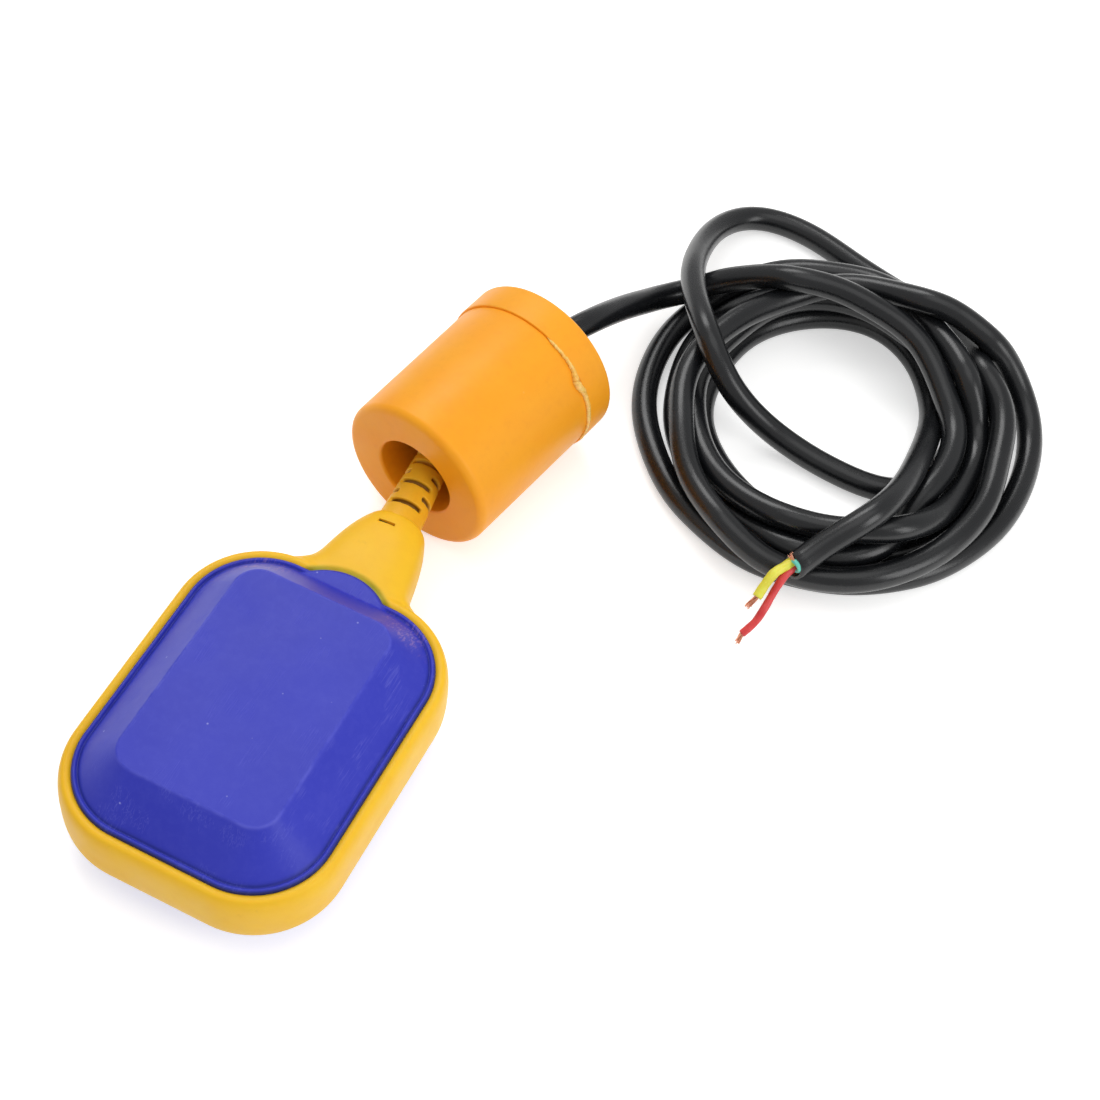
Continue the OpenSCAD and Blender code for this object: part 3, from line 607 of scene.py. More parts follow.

# Coil, given where the photo shows each strand: x and y on the height of the lowest strands,
# y counted from the float's middle, then the level, 0 on the floor and 1 more for each strand below
COIL = [
    (38, 231, 1), (45, 236, 1.3), (53, 241, 1.8), (61, 244, 2.2), (73, 247, 2.4), (84, 246, 2.2), (94, 244, 2.1),
    (104, 240, 1.9), (113, 232, 1.65), (121, 221, 1.35), (126, 211, 1.1), (129, 201, 1), (130, 192, 1), (129.5, 182, .9),
    (128, 171, .2), (126, 161, .3), (121, 153, .9), (115, 147, 1), (106, 143, 1), (95, 141, .6), (84, 142, 0),
    (73, 146, 0), (63, 153, 0), (54, 162, 0), (48, 172, 0), (44, 184, 0), (42, 195, 0), (42, 206, 0),
    (45, 218, 0), (50, 228, 0), (57, 236, 0),
    (65, 243, 0), (75, 247, 0), (85, 248, 0), (96, 245, 0), (106, 239, 0), (115, 231, 0), (124, 222, 0),
    (129, 213, 0), (131, 205, 0), (130, 197, 0), (128, 189, 0), (125, 182, 0), (119, 177, .1), (111, 175, .4),
    (100, 175, 1), (87, 177, 1.8), (72, 182, 2.6), (59, 190, 3.1), (50, 199, 3.2), (41, 210, 2.6), (34, 220, 1.7),
    (30, 229, 1), (28, 237, .5), (27, 245, .1), (28, 252, 0), (31, 258, 0), (36, 262.5, 0), (43, 265, 0),
    (52, 265.5, 0), (62, 264, 0), (73, 260.5, 0),
    (84, 257, 0), (95, 253, 0), (106, 249.5, 0), (115, 246, .3), (124, 240, .8), (133, 231, 1.3), (140, 220, 1.5),
    (143, 209, 1.5), (145, 198, 1.25), (146, 187, 1.1), (144, 174, 1), (139, 161, 1), (131, 149, 1), (121, 140, 1),
    (110, 135, 1), (100, 133, 1.1), (90, 134, 1.2), (81, 138, 1.4), (72, 143, 1.6), (63, 150, 1.9), (56, 159, 2),
    (51, 169, 2), (47, 178, 2), (44.5, 188, 2), (44.5, 200, 2), (48, 214, 1.9), (53, 226, 1.7), (60, 236, 1.5),
    (67, 244, 1.5), (77, 251, 2), (92, 255, 2), (108, 255, 1.6), (122, 251, 1.3), (135, 242, .8), (146, 228, .4),
    (151.5, 214, .15), (153.5, 198, 0), (152, 182, 0), (148, 170, 0), (142.5, 160, 0), (137, 153, 0),
    (131, 147, 0), (121, 139, 0), (109, 134, 0), (96, 132, 0), (85, 132.5, 0), (76, 135, 0), (68, 138, 0),
    (60, 142.5, 0), (52, 149.5, 0), (44, 159, 0), (38, 169, 0), (34, 182, 0), (33, 192, 0), (33.5, 202, 0),
    (36, 211, 0), (39, 219, 0), (43.5, 228, 0), (50, 237, 0),
    (60, 246, .3), (70, 252, 1), (82, 256, 1), (94, 255, 1.1), (106, 250, 1.3), (117, 242, 1.5), (126, 232, 1.5),
    (133, 220, .9), (136.5, 209, .1), (138, 199, 0), (137, 189, 0), (135, 180, .4), (132.5, 173, 1),
    (128.5, 167, 1.3), (124, 162, 1.3), (118, 158, 1), (110, 153.5, 1), (101, 151, 1), (91, 150, 1), (82, 151, 1),
    (73, 153.5, 1), (65, 158.5, 1), (58, 166, 1), (51.5, 177, 1), (48, 188, 1), (48, 199, 1), (50, 209, 1),
    (53, 219, 1), (57, 228, 1),
    (64, 236, 1), (74, 242, 1), (86, 244, 1), (98, 242, .95), (110, 237, .75), (121, 229, .45), (132, 219, .2),
    (140, 208, 0), (144, 198, 0), (145, 188, 0), (143, 177, 0), (138, 166, 0), (131, 156, 0), (122, 150, 0),
    (111, 147, 0), (99, 147, 0), (88, 149, 0), (77, 153, 0), (67, 159, 0), (59, 167, 0), (54.5, 175, 0),
    (52.5, 184, 0), (52, 194, 0), (53, 204, 0), (56, 214, 0), (61, 222, 0), (69, 230, 0), (79, 236, 0),
    (90, 239, 0),
    (101, 238, 0), (110, 232.5, 0), (116.5, 224, 0), (120.5, 215.5, .3), (122.5, 207, .7), (123, 197, 1.1),
    (122.5, 187, 1.6), (121, 177, 2), (118, 168, 2.3), (113, 157, 2.3), (108, 147, 2.3), (104.5, 138.5, 2.1),
    (102.8, 134.5, 2)]

EYE = np.array([CAMERA_AT[0], -236.8 - 53.44, CAMERA_AT[2]])
FLOOR_Z = CABLE_D / 2


def from_floor(base, z):
    """Points at height z that the photo shows where the base points on the floor are."""
    return base + (EYE[:2] - base) * ((z - FLOOR_Z) / (EYE[2] - FLOOR_Z))[:, None]


def bend_even(a, amount, weight):
    r = a.copy()
    r[2:-2] -= amount * weight[2:-2] * (a[4:] - 4 * a[3:-1] + 6 * a[2:-2] - 4 * a[1:-3] + a[:-4])
    return r


def settle(step=4.0, rounds=1200, held=105.0):
    """Lets the loops lie on each other: strands side by side push apart, a strand above another rests on it."""
    lead = np.array(LEAD, float)
    coil = np.array([(x, y + FLOAT_Y, FLOOR_Z + CABLE_D * level) for x, y, level in COIL], float)
    f = ((lead[:, 2] - FLOOR_Z) / (EYE[2] - FLOOR_Z))[:, None]
    base = lead.copy()
    base[:, :2] = (lead[:, :2] - EYE[:2] * f) / (1 - f)
    q = catmull(np.vstack([base, coil]), step)
    n = len(q)
    free = np.clip((np.arange(n) * step - held) / 45, 0, 1)
    free2 = free[:, None]
    for k in [.5, -.52] * 14:
        q[1:-1] += k * free2[1:-1] * (.5 * (q[:-2] + q[2:]) - q[1:-1])
    b, z = q[:, :2].copy(), np.maximum(q[:, 2], FLOOR_Z)
    b0, z0 = b.copy(), z.copy()
    gap = CABLE_D + .12
    for turn_no in range(rounds):
        p = np.c_[from_floor(b, z), z]
        if turn_no % 15 == 0:
            v = p[:, None, :2] - p[None, :, :2]
            one, two = np.nonzero((v ** 2).sum(2) < 15 ** 2)
            apart = (two - one) * step > 30
            one, two = one[apart], two[apart]
            order = np.sign(z0[one] - z0[two])
            beside = np.abs(z0[one] - z0[two]) < 3.2
        v = p[one] - p[two]
        flat = np.hypot(v[:, 0], v[:, 1])
        dist = np.sqrt(flat * flat + v[:, 2] ** 2)
        push = np.where(beside, np.maximum(gap - dist, 0), 0)
        move = v[:, :2] / np.maximum(flat, .3)[:, None] * push[:, None]
        total, count = np.zeros((n, 2)), np.zeros(n)
        np.add.at(total, one, move)
        np.add.at(total, two, -move)
        np.add.at(count, one, push > 0)
        np.add.at(count, two, push > 0)
        need = np.sqrt(np.maximum(gap ** 2 - flat * flat, 0)) - order * v[:, 2]
        need = np.where(beside, 0, np.clip(need, 0, 3))
        rise, drop = np.zeros(n), np.zeros(n)
        np.maximum.at(rise, one, np.where(order > 0, need, 0))
        np.maximum.at(rise, two, np.where(order < 0, need, 0))
        np.maximum.at(drop, one, np.where(order < 0, need, 0))
        np.maximum.at(drop, two, np.where(order > 0, need, 0))
        b = b + free2 * .35 * total / np.maximum(count, 1)[:, None]
        z = z + free * (.4 * rise - .2 * drop)
        if turn_no < rounds - 60:
            z = z - free * .02
            b = b + free2 * .02 * (b0 - b)
            for _ in range(12):
                b = b0 + bend_even(b - b0, .06, free2)
                z = bend_even(bend_even(z, .06, free), .06, free)
        else:
            b, z = b0 + bend_even(b - b0, .05, free2), bend_even(z, .05, free)
        z = np.maximum(z, FLOOR_Z)
    return np.c_[from_floor(b, z), z]


cable_line = catmull(settle(), 2.0)
CABLE_SIDES = 28
steps = np.arange(len(cable_line)) * 2.0
cable_radius = CABLE_D / 2 - 0.03 + 0.03 * np.sin(steps / 23.0) * np.sin(steps / 61.0 + 1.0)
cable_radius[-1] -= 0.22
cable_radius[-2] -= 0.03
points, faces, rows = tube(cable_line, cable_radius, CABLE_SIDES, True, False)
# the cut end: a flat ring of sheath, then the filler inside
end_at = len(cable_line) - 1
end_axis = (cable_line[-1] - cable_line[-2]) / np.linalg.norm(cable_line[-1] - cable_line[-2])
first = len(points) - CABLE_SIDES
ring = np.array(points[first:])
middle = ring.mean(0)
# the cutter went through at a slant, so the opening looks up
ring -= end_axis * (0.45 * (ring - middle)[:, 2:3])
points[first:] = list(ring)
for shrink, back in ((0.70, 0.0), (0.67, 0.35), (0.64, 1.6)):
    start = len(points)
    points += [middle + (p - middle) * shrink / 0.945 - end_axis * back for p in ring]
    for k in range(CABLE_SIDES):
        j = (k + 1) % CABLE_SIDES
        faces.append((first + k, first + j, start + j, start + k))
    first = start
faces.append(tuple(range(first, first + CABLE_SIDES)))
cable = mesh_object("cable_sheath", [np.array(p) * MM for p in points], faces)
uv = cable.data.uv_layers.new(name="along")
loop_vertex = np.empty(len(cable.data.loops), int)
cable.data.loops.foreach_get("vertex_index", loop_vertex)
around = (loop_vertex % CABLE_SIDES) / CABLE_SIDES
along = np.minimum(loop_vertex // CABLE_SIDES, len(rows) - 1)
angle = around * 2 * math.pi
uv.data.foreach_set("uv", np.stack([np.cos(angle) * 0.5 + 0.5, np.array(rows)[along] * 0.05], 1).ravel())
cable.data.polygons[len(cable.data.polygons) - 1].use_smooth = False
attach(cable, "float")
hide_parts("cable_lead", "cable_loop", "cable_coil", "cable_tail")
dress(cable, "sheath_black")


# ---------------------------------------------------------------- cut end

def strand_bundle(name, path, count, spread, radius, seed):
    """Twisted bare strands that splay a little toward their cut ends."""
    rng = np.random.default_rng(seed)
    path = catmull(path, 0.5)
    tangent = (path[-1] - path[0]) / np.linalg.norm(path[-1] - path[0])
    side = np.cross(tangent, (0, 0, 1.0))
    side /= np.linalg.norm(side)
    other = np.cross(tangent, side)
    points, faces = [], []
    for s in range(count):
        ring_no = 0 if s == 0 else (1 if s <= 6 else 2)
        a0 = s * 2.39996 + rng.uniform(-.2, .2)
        r0 = (0, 0.30, 0.58)[ring_no]
        cut = rng.uniform(0.80, 1.0)
        line = path[: max(4, int(len(path) * cut))]
        f = np.linspace(0, cut, len(line))
        a = a0 + f * 1.9
        r = r0 * (1 + spread * f ** 2 * rng.uniform(0.3, 1.3))
        line = line + r[:, None] * (np.cos(a)[:, None] * side + np.sin(a)[:, None] * other)
        p, q, _ = tube(line, radius, 7)
        base = len(points)
        points += p
        faces += [tuple(base + i for i in face) for face in q]
    return mesh_object(name, [np.array(p) * MM for p in points], faces)


def core(name, path, radius, seed):
    """An insulated core with a hollow cut end, slightly pinched where it was stripped."""
    line = catmull(path, 0.6)
    n = len(line)
    f = np.linspace(0, 1, n)
    r = radius * (1 + 0.03 * np.sin(f * 17 + seed) + 0.02 * np.sin(f * 41 + seed))
    r[-1] *= 0.93
    points, faces, _ = tube(line, r, 24, True, False)
    first = len(points) - 24
    last = np.array(points[first:])
    centre = last.mean(0)
    axis = (line[-1] - line[-2]) / np.linalg.norm(line[-1] - line[-2])
    rng = np.random.default_rng(seed)
    jag = rng.uniform(-0.22, 0.22, 24)
    for k in range(24):
        points[first + k] = points[first + k] + axis * (jag[k] + jag[(k + 1) % 24]) * 0.5
    for shrink, back in ((0.72, 0.05), (0.66, 0.8)):
        start = len(points)
        points += [centre + (p - centre) * shrink - axis * back for p in last]
        for k in range(24):
            j = (k + 1) % 24
            faces.append((first + k, first + j, start + j, start + k))
        first = start
    faces.append(tuple(range(first, first + 24)))
    return mesh_object(name, [np.array(p) * MM for p in points], faces)


RED_PATH = [(105.0, 72.8, 17.8), (104.0, 70.2, 17.2), (103.0, 67.4, 16.2), (102.2, 63.8, 13.6), (101.7, 58.3, 11.0),
            (100.8, 54.5, 8.0), (98.7, 50.9, 5.0)]
YELLOW_PATH = [(104.2, 73.2, 19.4), (103.3, 71.7, 18.9), (102.4, 70.0, 18.4), (100.3, 66.3, 17.8), (99.2, 62.2, 16.0),
               (98.6, 58.7, 13.8)]
GREEN_PATH = [(106.1, 73.3, 19.3), (105.1, 71.2, 19.0), (104.6, 70.2, 18.8)]
red_core = core("red_core", RED_PATH, 1.2, 3)
yellow_core = core("yellow_core", YELLOW_PATH, 1.46, 5)
green_core = core("green_core", GREEN_PATH, 2.3, 7)
red_strands = strand_bundle("red_strands", [(99.6, 52.3, 6.2), (98.7, 50.9, 5.0), (98.5, 49.8, 3.3), (98.3, 48.6, 1.7)],
                            16, 0.5, 0.15, 11)
yellow_strands = strand_bundle("yellow_strands", [(98.8, 59.9, 14.6), (98.5, 58.6, 13.7), (97.6, 57.3, 11.9), (96.9, 56.0, 10.0)],
                               16, 0.4, 0.15, 12)
green_strands = strand_bundle("green_strands", [(105.2, 71.6, 19.6), (104.4, 71.2, 20.4), (101.5, 72.5, 21.2)],
                              12, 0.9, 0.15, 13)
for piece, slot, node in (
        (red_core, "core_red", "core_red"), (yellow_core, "core_yellow", "core_yellow"),
        (green_core, "core_green", "core_green"), (red_strands, "copper", "strands_red"),
        (yellow_strands, "copper", "strands_yellow"), (green_strands, "copper", None)):
    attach(piece, "float")
    if node:
        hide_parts(node)
    dress(piece, slot)


# ---------------------------------------------------------------- float shells

def rounded_distance(x, y, w, l, r):
    """Distance inside a rounded rectangle's outline, negative outside."""
    qx, qy = np.abs(x) - w / 2 + r, np.abs(y) - l / 2 + r
    outside = np.hypot(np.maximum(qx, 0), np.maximum(qy, 0))
    return r - outside - np.minimum(np.maximum(qx, qy), 0)


def soft_max(a, b, k):
    h = np.clip(0.5 + 0.5 * (a - b) / k, 0, 1)
    return b + (a - b) * h + k * h * (1 - h)


def soft_min(a, b, k):
    return -soft_max(-a, -b, k)


RIM_W, RIM_L, RIM_R = FLOAT_W - 2 * BAND_INSET, FLOAT_L - 2 * BAND_INSET, FLOAT_R - BAND_INSET
LOW_W, LOW_L, LOW_R = RIM_W - 2 * SLOPE_IN, RIM_L - 2 * SLOPE_IN, RIM_R - SLOPE_IN


def slope_share(x, y):
    """How far up the slope a point lies: 0 at its foot, 1 at the raised field, and on beyond."""
    low, high = np.full(np.shape(x), -0.3), np.full(np.shape(x), 1.32)
    for _ in range(26):
        t = (low + high) / 2
        inside = rounded_distance(x, y, LOW_W + (FIELD_W - LOW_W) * t, LOW_L + (FIELD_L - LOW_L) * t,
                                  np.maximum(LOW_R + (FIELD_R - LOW_R) * t, 0.5)) > 0
        low, high = np.where(inside, t, low), np.where(inside, high, t)
    return (low + high) / 2


def shell_height(x, y):
    rise = MID - SLOPE_Z
    z = SLOPE_Z + rise * slope_share(x, y)
    z = soft_min(z, MID + 0.0 * z, 0.4)
    d = rounded_distance(x, y, FLOAT_W, FLOAT_L, FLOAT_R)
    bead = 9.1 + np.sqrt(np.maximum(0.49 - (d - 4.6) ** 2, 0)) - 3 * (np.abs(d - 4.6) >= 0.7)
    z = soft_max(z, 9.0 + 0 * z, 0.3)
    z = soft_max(z, bead, 0.25)
    e = EAR_R - np.hypot(x, y - EAR_Y)
    edge = 1.3
    drop = edge - np.sqrt(np.maximum(edge ** 2 - np.clip(edge - e, 0, edge) ** 2, 0))
    ear = np.where((e > 0) & (y > 30), EAR_H - drop, 0.0)
    z = np.where(y > 30, soft_max(z, ear, 0.5), z)
    foot = np.clip(d - BAND_INSET, 0, None)
    lip = 0.5 - np.sqrt(np.maximum(0.25 - np.clip(0.5 - foot, 0, 0.5) ** 2, 0))
    return np.minimum(z, np.where((e > 0.8) | (foot > 0.5), 30, np.maximum(ear, 9.8 - 1.6 * lip)))


def shell_edge(angles):
    """Radius of the shell's outline, ear included, along rays from the float's middle."""
    low, high = np.full(len(angles), 20.0), np.full(len(angles), 70.0)
    for _ in range(40):
        r = (low + high) / 2
        x, y = r * np.cos(angles), r * np.sin(angles)
        inside = soft_max(rounded_distance(x, y, FLOAT_W, FLOAT_L, FLOAT_R) - BAND_INSET,
                          EAR_R - np.hypot(x, y - EAR_Y), 0.5) > 0
        low, high = np.where(inside, r, low), np.where(inside, high, r)
    return (low + high) / 2


def field_edge(angles):
    low, high = np.zeros(len(angles)), np.full(len(angles), 60.0)
    for _ in range(40):
        r = (low + high) / 2
        inside = rounded_distance(r * np.cos(angles), r * np.sin(angles), FIELD_W, FIELD_L, FIELD_R) > 0
        low, high = np.where(inside, r, low), np.where(inside, high, r)
    return (low + high) / 2


def shell_piece(name, flip):
    count = 480
    even = np.linspace(0, 2 * math.pi, 4000, endpoint=False)
    outline = shell_edge(even)
    px, py = outline * np.cos(even), outline * np.sin(even)
    length = np.concatenate([[0], np.cumsum(np.hypot(np.diff(np.append(px, px[0])), np.diff(np.append(py, py[0]))))])
    angles = np.interp(np.linspace(0, length[-1], count, endpoint=False), length, np.append(even, 2 * math.pi))
    edge, field = shell_edge(angles), field_edge(angles)
    cos, sin = np.cos(angles), np.sin(angles)
    loops = []

    def add(radius, z):
        loops.append(np.stack([radius * cos, radius * sin, np.broadcast_to(z, radius.shape)], 1))

    inner = edge - 2.6
    add(np.minimum(field - 4, inner), 18.6)
    add(np.minimum(field - 2.2, inner), 18.6)
    add(np.minimum(inner - 2, inner), 7.6)
    add(inner, 6.8)
    add(inner, 0.0)
    add(edge, 0.0)
    add(edge, 6.0)
    near = [0.0, 0.1, 0.22, 0.36, 0.52, 0.7, 0.88, 1.06, 1.24, 1.42, 1.6, 1.8, 2.05, 2.4, 2.9, 3.5]
    for d in near:
        r = edge - d
        add(r, shell_height(r * cos, r * sin) - (0.9 if d == 0 else 0.0))
    for f in np.linspace(0.08, 0.90, 16):
        r = (edge - 3.5) * (1 - f) + (field + 1.6) * f
        add(r, shell_height(r * cos, r * sin))
    for d in (1.6, 1.1, 0.8, 0.55, 0.35, 0.18, 0.0, -0.18, -0.35, -0.55, -0.8, -1.1, -1.8):
        r = field + d
        add(r, shell_height(r * cos, r * sin))
    for f in (0.9, 0.78, 0.62, 0.45, 0.28, 0.12, 0.04):
        r = (field - 1.8) * f
        add(r, shell_height(r * cos, r * sin))
    points, faces = loft(loops)
    if flip:
        points = [(-p[0], p[1], -p[2]) for p in points]
    piece = mesh_object(name, points, faces, in_float())
    mend_normals(piece)
    co = vertex_array(piece.data) / MM
    # painted highlight along the edge of the raised field
    share = slope_share(co[:, 0], co[:, 1] - FLOAT_Y)
    high = np.abs(co[:, 2] - MID) > SLOPE_Z
    painted_edge_highlight = np.exp(-(((share - 1.0) * (MID - SLOPE_Z)) / 0.42) ** 2) * high
    piece.data.attributes.new("painted_edge_highlight", "FLOAT", "POINT").data.foreach_set("value", painted_edge_highlight)
    # painted shade in the groove beside the bead and along the band
    d = np.minimum(rounded_distance(co[:, 0], co[:, 1] - FLOAT_Y, FLOAT_W, FLOAT_L, FLOAT_R), 99)
    ear = EAR_R - np.hypot(co[:, 0], co[:, 1] - FLOAT_Y - EAR_Y)
    rim = np.where(co[:, 1] - FLOAT_Y > 38, np.maximum(d - BAND_INSET, ear), d - BAND_INSET)
    painted_groove_shade = np.exp(-(np.maximum(rim, 0) / 0.55) ** 2) + 0.6 * np.exp(-((d - 5.65) / 0.35) ** 2) * (ear < 0)
    piece.data.attributes.new("painted_groove_shade", "FLOAT", "POINT").data.foreach_set("value", np.clip(painted_groove_shade, 0, 1))
    return piece


for name, node, flip in (("shell_top", "float_shell_top", False), ("shell_bottom", "float_shell_bottom", True)):
    shell = shell_piece(name, flip)
    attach(shell, "float")
    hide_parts(node)
    dress(shell, "shell_blue")


# ---------------------------------------------------------------- band and neck

def band_ring():
    profile = [(-5.4, 7.4), (-4.3, 8.0), (-3.6, 8.6), (-3.2, 8.98), (-2.7, 9.24), (-2.1, 9.3), (-1.5, 9.08),
               (-1.0, 8.5), (-0.62, 7.6), (-0.36, 6.5), (-0.18, 5.2), (-0.05, 3.4), (0.0, 1.6)]
    profile = profile + [(u, -z) for u, z in reversed(profile)]
    profile = [(u, z) for i, (u, z) in enumerate(profile)]
    spine = []
    hx, hy = FLOAT_W / 2 - FLOAT_R, FLOAT_L / 2 - FLOAT_R
    for qx, qy, a0 in ((1, 1, 0), (-1, 1, 90), (-1, -1, 180), (1, -1, 270)):
        for a in np.linspace(a0, a0 + 90, 33):
            c, s = math.cos(math.radians(a)), math.sin(math.radians(a))
            spine.append((qx * hx, qy * hy, c, s))
    points, faces, n = [], [], len(profile)
    for cx, cy, c, s in spine:
        points += [(cx + (FLOAT_R + u) * c, cy + (FLOAT_R + u) * s, z) for u, z in profile]
    m = len(spine)
    for k in range(m):
        j = (k + 1) % m
        for i in range(n):
            h = (i + 1) % n
            faces.append((k * n + i, j * n + i, j * n + h, k * n + h))
    return points, faces


def neck_loft():
    # y, half width, half thickness, squareness
    sections = [(44.5, 25.5, 8.0, 4.0), (48.0, 24.5, 8.7, 4.0), (50.0, 22.0, 9.0, 3.8), (52.0, 18.2, 9.1, 3.6),
                (54.0, 15.8, 9.1, 3.5), (57.0, 14.5, 9.0, 3.4), (60.0, 13.9, 8.9, 3.4), (64.0, 13.1, 8.8, 3.3),
                (68.0, 12.1, 8.5, 3.2), (71.0, 11.2, 8.2, 3.0), (73.5, 10.3, 7.8, 2.8), (75.5, 9.4, 7.5, 2.6),
                (77.0, 8.5, 7.2, 2.4), (77.9, 7.7, 6.9, 2.2), (78.45, 6.6, 6.3, 2.1)]
    rows = np.array(sections)
    y = np.concatenate([np.arange(44.5, 77.0, 0.8), np.linspace(77.0, 78.45, 6)])
    table = [np.interp(y, rows[:, 0], rows[:, k]) for k in (1, 2, 3)]
    for column in table:
        for _ in range(3):
            column[1:-1] = 0.25 * column[:-2] + 0.5 * column[1:-1] + 0.25 * column[2:]
    loops = []
    for k, at in enumerate(y):
        w, t, e = (column[k] for column in table)
        a = np.linspace(0, 2 * math.pi, 96, endpoint=False)
        c, s = np.cos(a), np.sin(a)
        loops.append(np.stack([w * np.sign(c) * np.abs(c) ** (2 / e), np.full(96, at),
                               t * np.sign(s) * np.abs(s) ** (2 / e)], 1))
    return loft(loops)


def joined(name, parts, place):
    points, faces = [], []
    for p, f in parts:
        base = len(points)
        points += [tuple(q) for q in p]
        faces += [tuple(base + i for i in face) for face in f]
    piece = mesh_object(name, points, faces, place)
    mend_normals(piece)
    return piece


band = joined("seal_band_and_neck", [band_ring(), neck_loft()], in_float())
remesh(band, 0.6, 6)
local = in_float().inverted()
co = vertex_array(band.data)
place = np.array(local)
here = co @ place[:3, :3].T + place[:3, 3]
# seat for the arch of each shell and the tight line round it
e = EAR_R - np.hypot(here[:, 0], here[:, 1] - EAR_Y)
sunk = np.clip(1 - np.abs(e + 0.25) / 0.9, 0, 1) * (here[:, 1] > 44)
under = np.clip((e - 0.4) / 0.8, 0, 1) * (here[:, 1] > 40)
top = np.abs(here[:, 2]) > 6.5
lower = (0.75 * sunk ** 0.8 + 1.6 * under) * top
here[:, 2] -= np.sign(here[:, 2]) * lower
# small slot beside the strain relief
slot_x, slot_y = here[:, 0] + 1.5, here[:, 1] - 73.0 - 0.1 * (here[:, 0] + 1.5)
back = np.linalg.inv(place)
co = here @ back[:3, :3].T + back[:3, 3]
band.data.vertices.foreach_set("co", co.ravel())
band.data.update()
cutter = mesh_object("cutter", *loft([[(sx * 2.5, sy * 0.5, z) for sx, sy in ((-1, -1), (1, -1), (1, 1), (-1, 1))]
                                      for z in (3.4, 12.0)]),
                     in_float() @ Matrix.Translation((SLOT_X, SLOT_Y, 0)) @ Matrix.Rotation(math.radians(4), 4, "Z"), False)
mend_normals(cutter)
cut = band.modifiers.new("slot", "BOOLEAN")
cut.object = cutter
cut.operation = "DIFFERENCE"
cut.solver = "EXACT"
bpy.context.view_layer.update()
done = bpy.data.meshes.new_from_object(band.evaluated_get(bpy.context.evaluated_depsgraph_get()))
band.modifiers.clear()
band.data = done
bpy.data.objects.remove(cutter)
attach(band, "float")
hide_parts("seal_band")
dress(band, "band_yellow")


# ---------------------------------------------------------------- strain relief

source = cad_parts["strain_relief"]
relief_mesh = source.data.copy()
relief = bpy.data.objects.new("relief_sleeve", relief_mesh)
bpy.context.collection.objects.link(relief)
filler = mesh_object("filler", *tube([(0, -0.3, 0), (0, RELIEF_L - 0.05, 0)], 4.45, 40)[:2], in_relief())
bm = bmesh.new()
bm.from_mesh(relief.data)
bm.from_mesh(filler.data)
bmesh.ops.remove_doubles(bm, verts=bm.verts, dist=1e-7)
bm.to_mesh(relief.data)
bm.free()
bpy.data.objects.remove(filler)
remesh(relief, 0.22, 2)
co = vertex_array(relief.data)
place = np.array(in_relief().inverted())
here = co @ place[:3, :3].T + place[:3, 3]
# painted shade in the slots: how far each point lies below the outermost point of its ring
across = np.hypot(here[:, 0], here[:, 2])
bands = np.round(here[:, 1] / 4.0).astype(int)
full = np.array([across[bands == k].max() for k in range(bands.min(), bands.max() + 1)])
full = full[bands - bands.min()]
painted_slot_shade = np.clip((full - across - 0.75) / 0.55, 0, 1) * (here[:, 1] > 1) * (here[:, 1] < RELIEF_L - 0.8)
relief.data.attributes.new("painted_slot_shade", "FLOAT", "POINT").data.foreach_set("value", painted_slot_shade)
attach(relief, "float")
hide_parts("strain_relief")
dress(relief, "relief_yellow")


# ---------------------------------------------------------------- counterweight

body_end = WEIGHT_R + 0.4
wall = 2.5
tube_wall = BORE_R + 2
near = 2.5
body_profile = ([(BORE_R, WEIGHT_L), (BORE_R, 1.0)] + arc(BORE_R + 0.9, 0.9, 0.9, 180, 270, 6)
                + arc(WEIGHT_R - near, near, near, -90, 0, 14)
                + [(WEIGHT_R + 0.2, WEIGHT_L / 2), (body_end, WEIGHT_L - 0.5), (body_end - 0.12, WEIGHT_L - 0.12),
                   (body_end - 0.5, WEIGHT_L), (body_end - wall, WEIGHT_L), (WEIGHT_R - wall, 3.5), (tube_wall, 3.5),
                   (tube_wall, WEIGHT_L)])
body = mesh_object("weight_housing", *lathe(body_profile, 224), in_weight())
mend_normals(body)
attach(body, "weight")
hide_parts("weight_body")
dress(body, "weight_orange")

far = WEIGHT_L + CAP_L
spigot = body_end - wall - 0.1
cap_profile = ([(spigot, WEIGHT_L + 0.02), (body_end + 0.1, WEIGHT_L + 0.02)]
               + arc(CAP_R - 0.3, WEIGHT_L + 0.32, 0.3, -90, 0, 5)
               + [(CAP_R, WEIGHT_L + 4)] + arc(CAP_R - 1.5, far - 1.5, 1.5, 0, 90, 12)
               + [(CABLE_D / 2 + 1.2, far), (CABLE_D / 2 + 0.6, far - 0.6), (CABLE_D / 2 + 0.6, far - 3.5),
                  (spigot - 2.2, far - 3.5), (spigot - 2.2, WEIGHT_L - 3.7), (spigot, WEIGHT_L - 3.7)])
cap = mesh_object("weight_lid", *lathe(cap_profile, 224), in_weight())
mend_normals(cap)
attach(cap, "weight")
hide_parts("weight_cap")
dress(cap, "weight_orange")


def glue_bead():
    """Uneven bead along the step, thicker at one side where the glue ran."""
    rng = np.random.default_rng(21)
    bumps = np.convolve(rng.uniform(-1, 1, 400), np.ones(5) / 5, "same")
    start, stop = math.radians(-72), math.radians(24)
    angles = np.linspace(start, stop, 220)
    line, radius = [], []
    for i, a in enumerate(angles):
        f = (a - start) / (stop - start)
        r = body_end + 0.28 + 0.12 * bumps[i]
        z = WEIGHT_L - 0.15 + 0.30 * bumps[(i * 3) % 400] - 1.3 * math.exp(-((f - 0.38) / 0.07) ** 2)
        line.append((r * math.cos(a), r * math.sin(a), z))
        ends = min(1.0, f / 0.04, (1 - f) / 0.04)
        radius.append((0.46 + 0.20 * bumps[(i * 7) % 400] + 0.30 * math.sin(math.pi * f) ** 2 + 0.45 * math.exp(-((f - 0.38) / 0.08) ** 2)) * max(ends, 0.15))
    return tube(line, np.array(radius), 12)[:2]


bead = mesh_object("glue_bead", *glue_bead(), in_weight())
mend_normals(bead)
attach(bead, "weight")
dress(bead, "weight_orange", "glue")


# ---------------------------------------------------------------- inner pieces

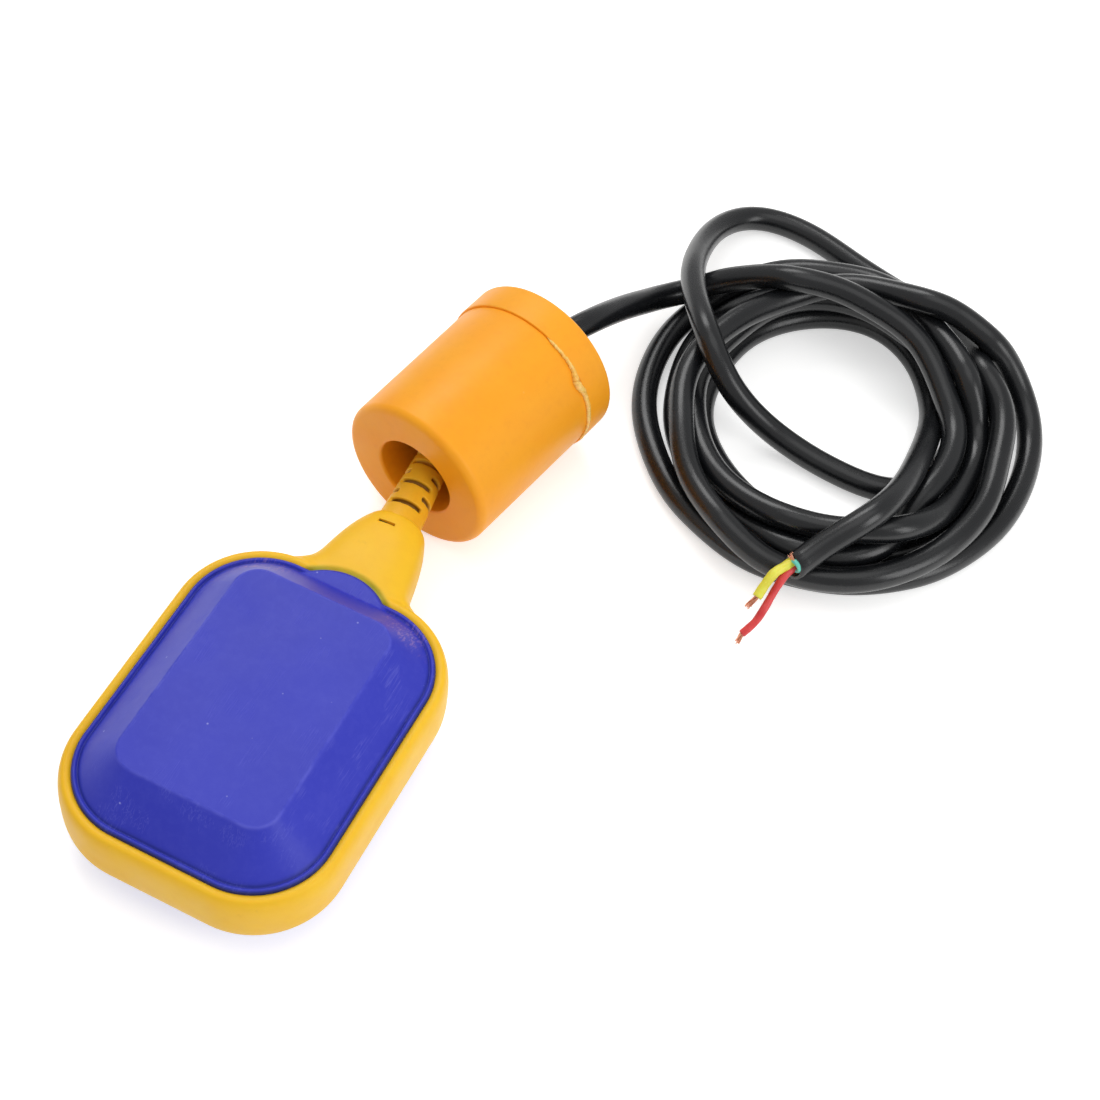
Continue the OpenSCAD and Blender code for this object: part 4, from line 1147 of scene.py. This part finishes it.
INNER = {
    "cable_entry": "sheath_black", "entry_grommet": "grommet_black", "capsule_base": "box_grey",
    "capsule_lid": "box_grey", "steel_ball": "ball_steel", "switch_case": "switch_black",
    "switch_cover": "switch_black", "switch_spring": "spring_brass", "switch_lever": "lever_steel",
    "lever_pin": "lever_steel", "switch_button": "button_red", "terminal_common": "blade_brass",
    "terminal_open": "blade_brass", "terminal_closed": "blade_brass", "core_red_inner": "core_red",
    "core_yellow_inner": "core_yellow", "core_green_inner": "core_green", "weight_core": "ballast_iron",
    "stop_ring": "ring_white"}
for node, material in INNER.items():
    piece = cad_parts[node]
    if not piece.material_slots:
        piece.data.materials.append(MATERIALS[material])
    for k in range(len(piece.material_slots)):
        piece.material_slots[k].material = MATERIALS[material]


# ---------------------------------------------------------------- floor and light

def shown_pale(material, camera_white):
    """The camera and reflections see plain white, the object gets the floor's own bounce, shadows stay."""
    tree = material.node_tree
    tree.nodes.clear()
    out = tree.nodes.new("ShaderNodeOutputMaterial")
    matte = tree.nodes.new("ShaderNodeBsdfDiffuse")
    matte.inputs["Color"].default_value = (0.93, 0.93, 0.92, 1)
    glow = tree.nodes.new("ShaderNodeEmission")
    glow.inputs["Color"].default_value = (1, 1, 1, 1)
    glow.inputs["Strength"].default_value = camera_white
    ray = tree.nodes.new("ShaderNodeLightPath")
    either = tree.nodes.new("ShaderNodeMath")
    either.operation = "MAXIMUM"
    tree.links.new(ray.outputs["Is Camera Ray"], either.inputs[0])
    tree.links.new(ray.outputs["Is Glossy Ray"], either.inputs[1])
    more = tree.nodes.new("ShaderNodeMath")
    more.operation = "MAXIMUM"
    tree.links.new(either.outputs[0], more.inputs[0])
    tree.links.new(ray.outputs["Is Transmission Ray"], more.inputs[1])
    share = tree.nodes.new("ShaderNodeMath")
    share.operation = "MULTIPLY"
    tree.links.new(more.outputs[0], share.inputs[0])
    share.inputs[1].default_value = camera_white
    tree.links.new(share.outputs[0], glow.inputs["Strength"])
    add = tree.nodes.new("ShaderNodeAddShader")
    tree.links.new(matte.outputs[0], add.inputs[0])
    tree.links.new(glow.outputs[0], add.inputs[1])
    tree.links.new(add.outputs[0], out.inputs[0])


floor = mesh_object("floor", [(-4, -4, 0), (4, -4, 0), (4, 4, 0), (-4, 4, 0)], [(0, 1, 2, 3)], None, False)
floor_material = bpy.data.materials.new("floor_white")
floor_material.use_nodes = True
shown_pale(floor_material, 0.50)
floor.data.materials.append(floor_material)

world = bpy.data.worlds.new("studio")
bpy.context.scene.world = world
world.use_nodes = True
tree = world.node_tree
tree.nodes.clear()
out = tree.nodes.new("ShaderNodeOutputWorld")
sky = tree.nodes.new("ShaderNodeBackground")
sky.inputs["Color"].default_value = (1.0, 1.0, 1.0, 1)
ray = tree.nodes.new("ShaderNodeLightPath")
seen = tree.nodes.new("ShaderNodeMath")
seen.operation = "MAXIMUM"
tree.links.new(ray.outputs["Is Camera Ray"], seen.inputs[0])
tree.links.new(ray.outputs["Is Transmission Ray"], seen.inputs[1])
level = tree.nodes.new("ShaderNodeMapRange")
for k, v in zip((1, 2, 3, 4), (0.0, 1.0, 0.57, 1.0)):
    level.inputs[k].default_value = v
tree.links.new(seen.outputs[0], level.inputs[0])
tree.links.new(level.outputs[0], sky.inputs["Strength"])
tree.links.new(sky.outputs[0], out.inputs[0])


def lamp(name, at, aim, size, power, colour=(1, 1, 1)):
    data = bpy.data.lights.new(name, "AREA")
    data.shape = "RECTANGLE"
    data.size, data.size_y = size
    data.energy = power
    data.color = colour
    light = bpy.data.objects.new(name, data)
    light.location = at
    light.rotation_euler = (Vector(aim) - Vector(at)).to_track_quat("-Z", "Y").to_euler()
    bpy.context.collection.objects.link(light)


lamp("key", (-0.55, 0.75, 1.15), (0.03, 0.03, 0.0), (0.75, 0.55), 6.0)
lamp("top", (0.15, 0.05, 1.5), (0.05, 0.05, 0.0), (1.1, 1.1), 3.4)
lamp("side", (1.2, -0.1, 0.7), (0.05, 0.05, 0.0), (0.5, 0.9), 5.0)
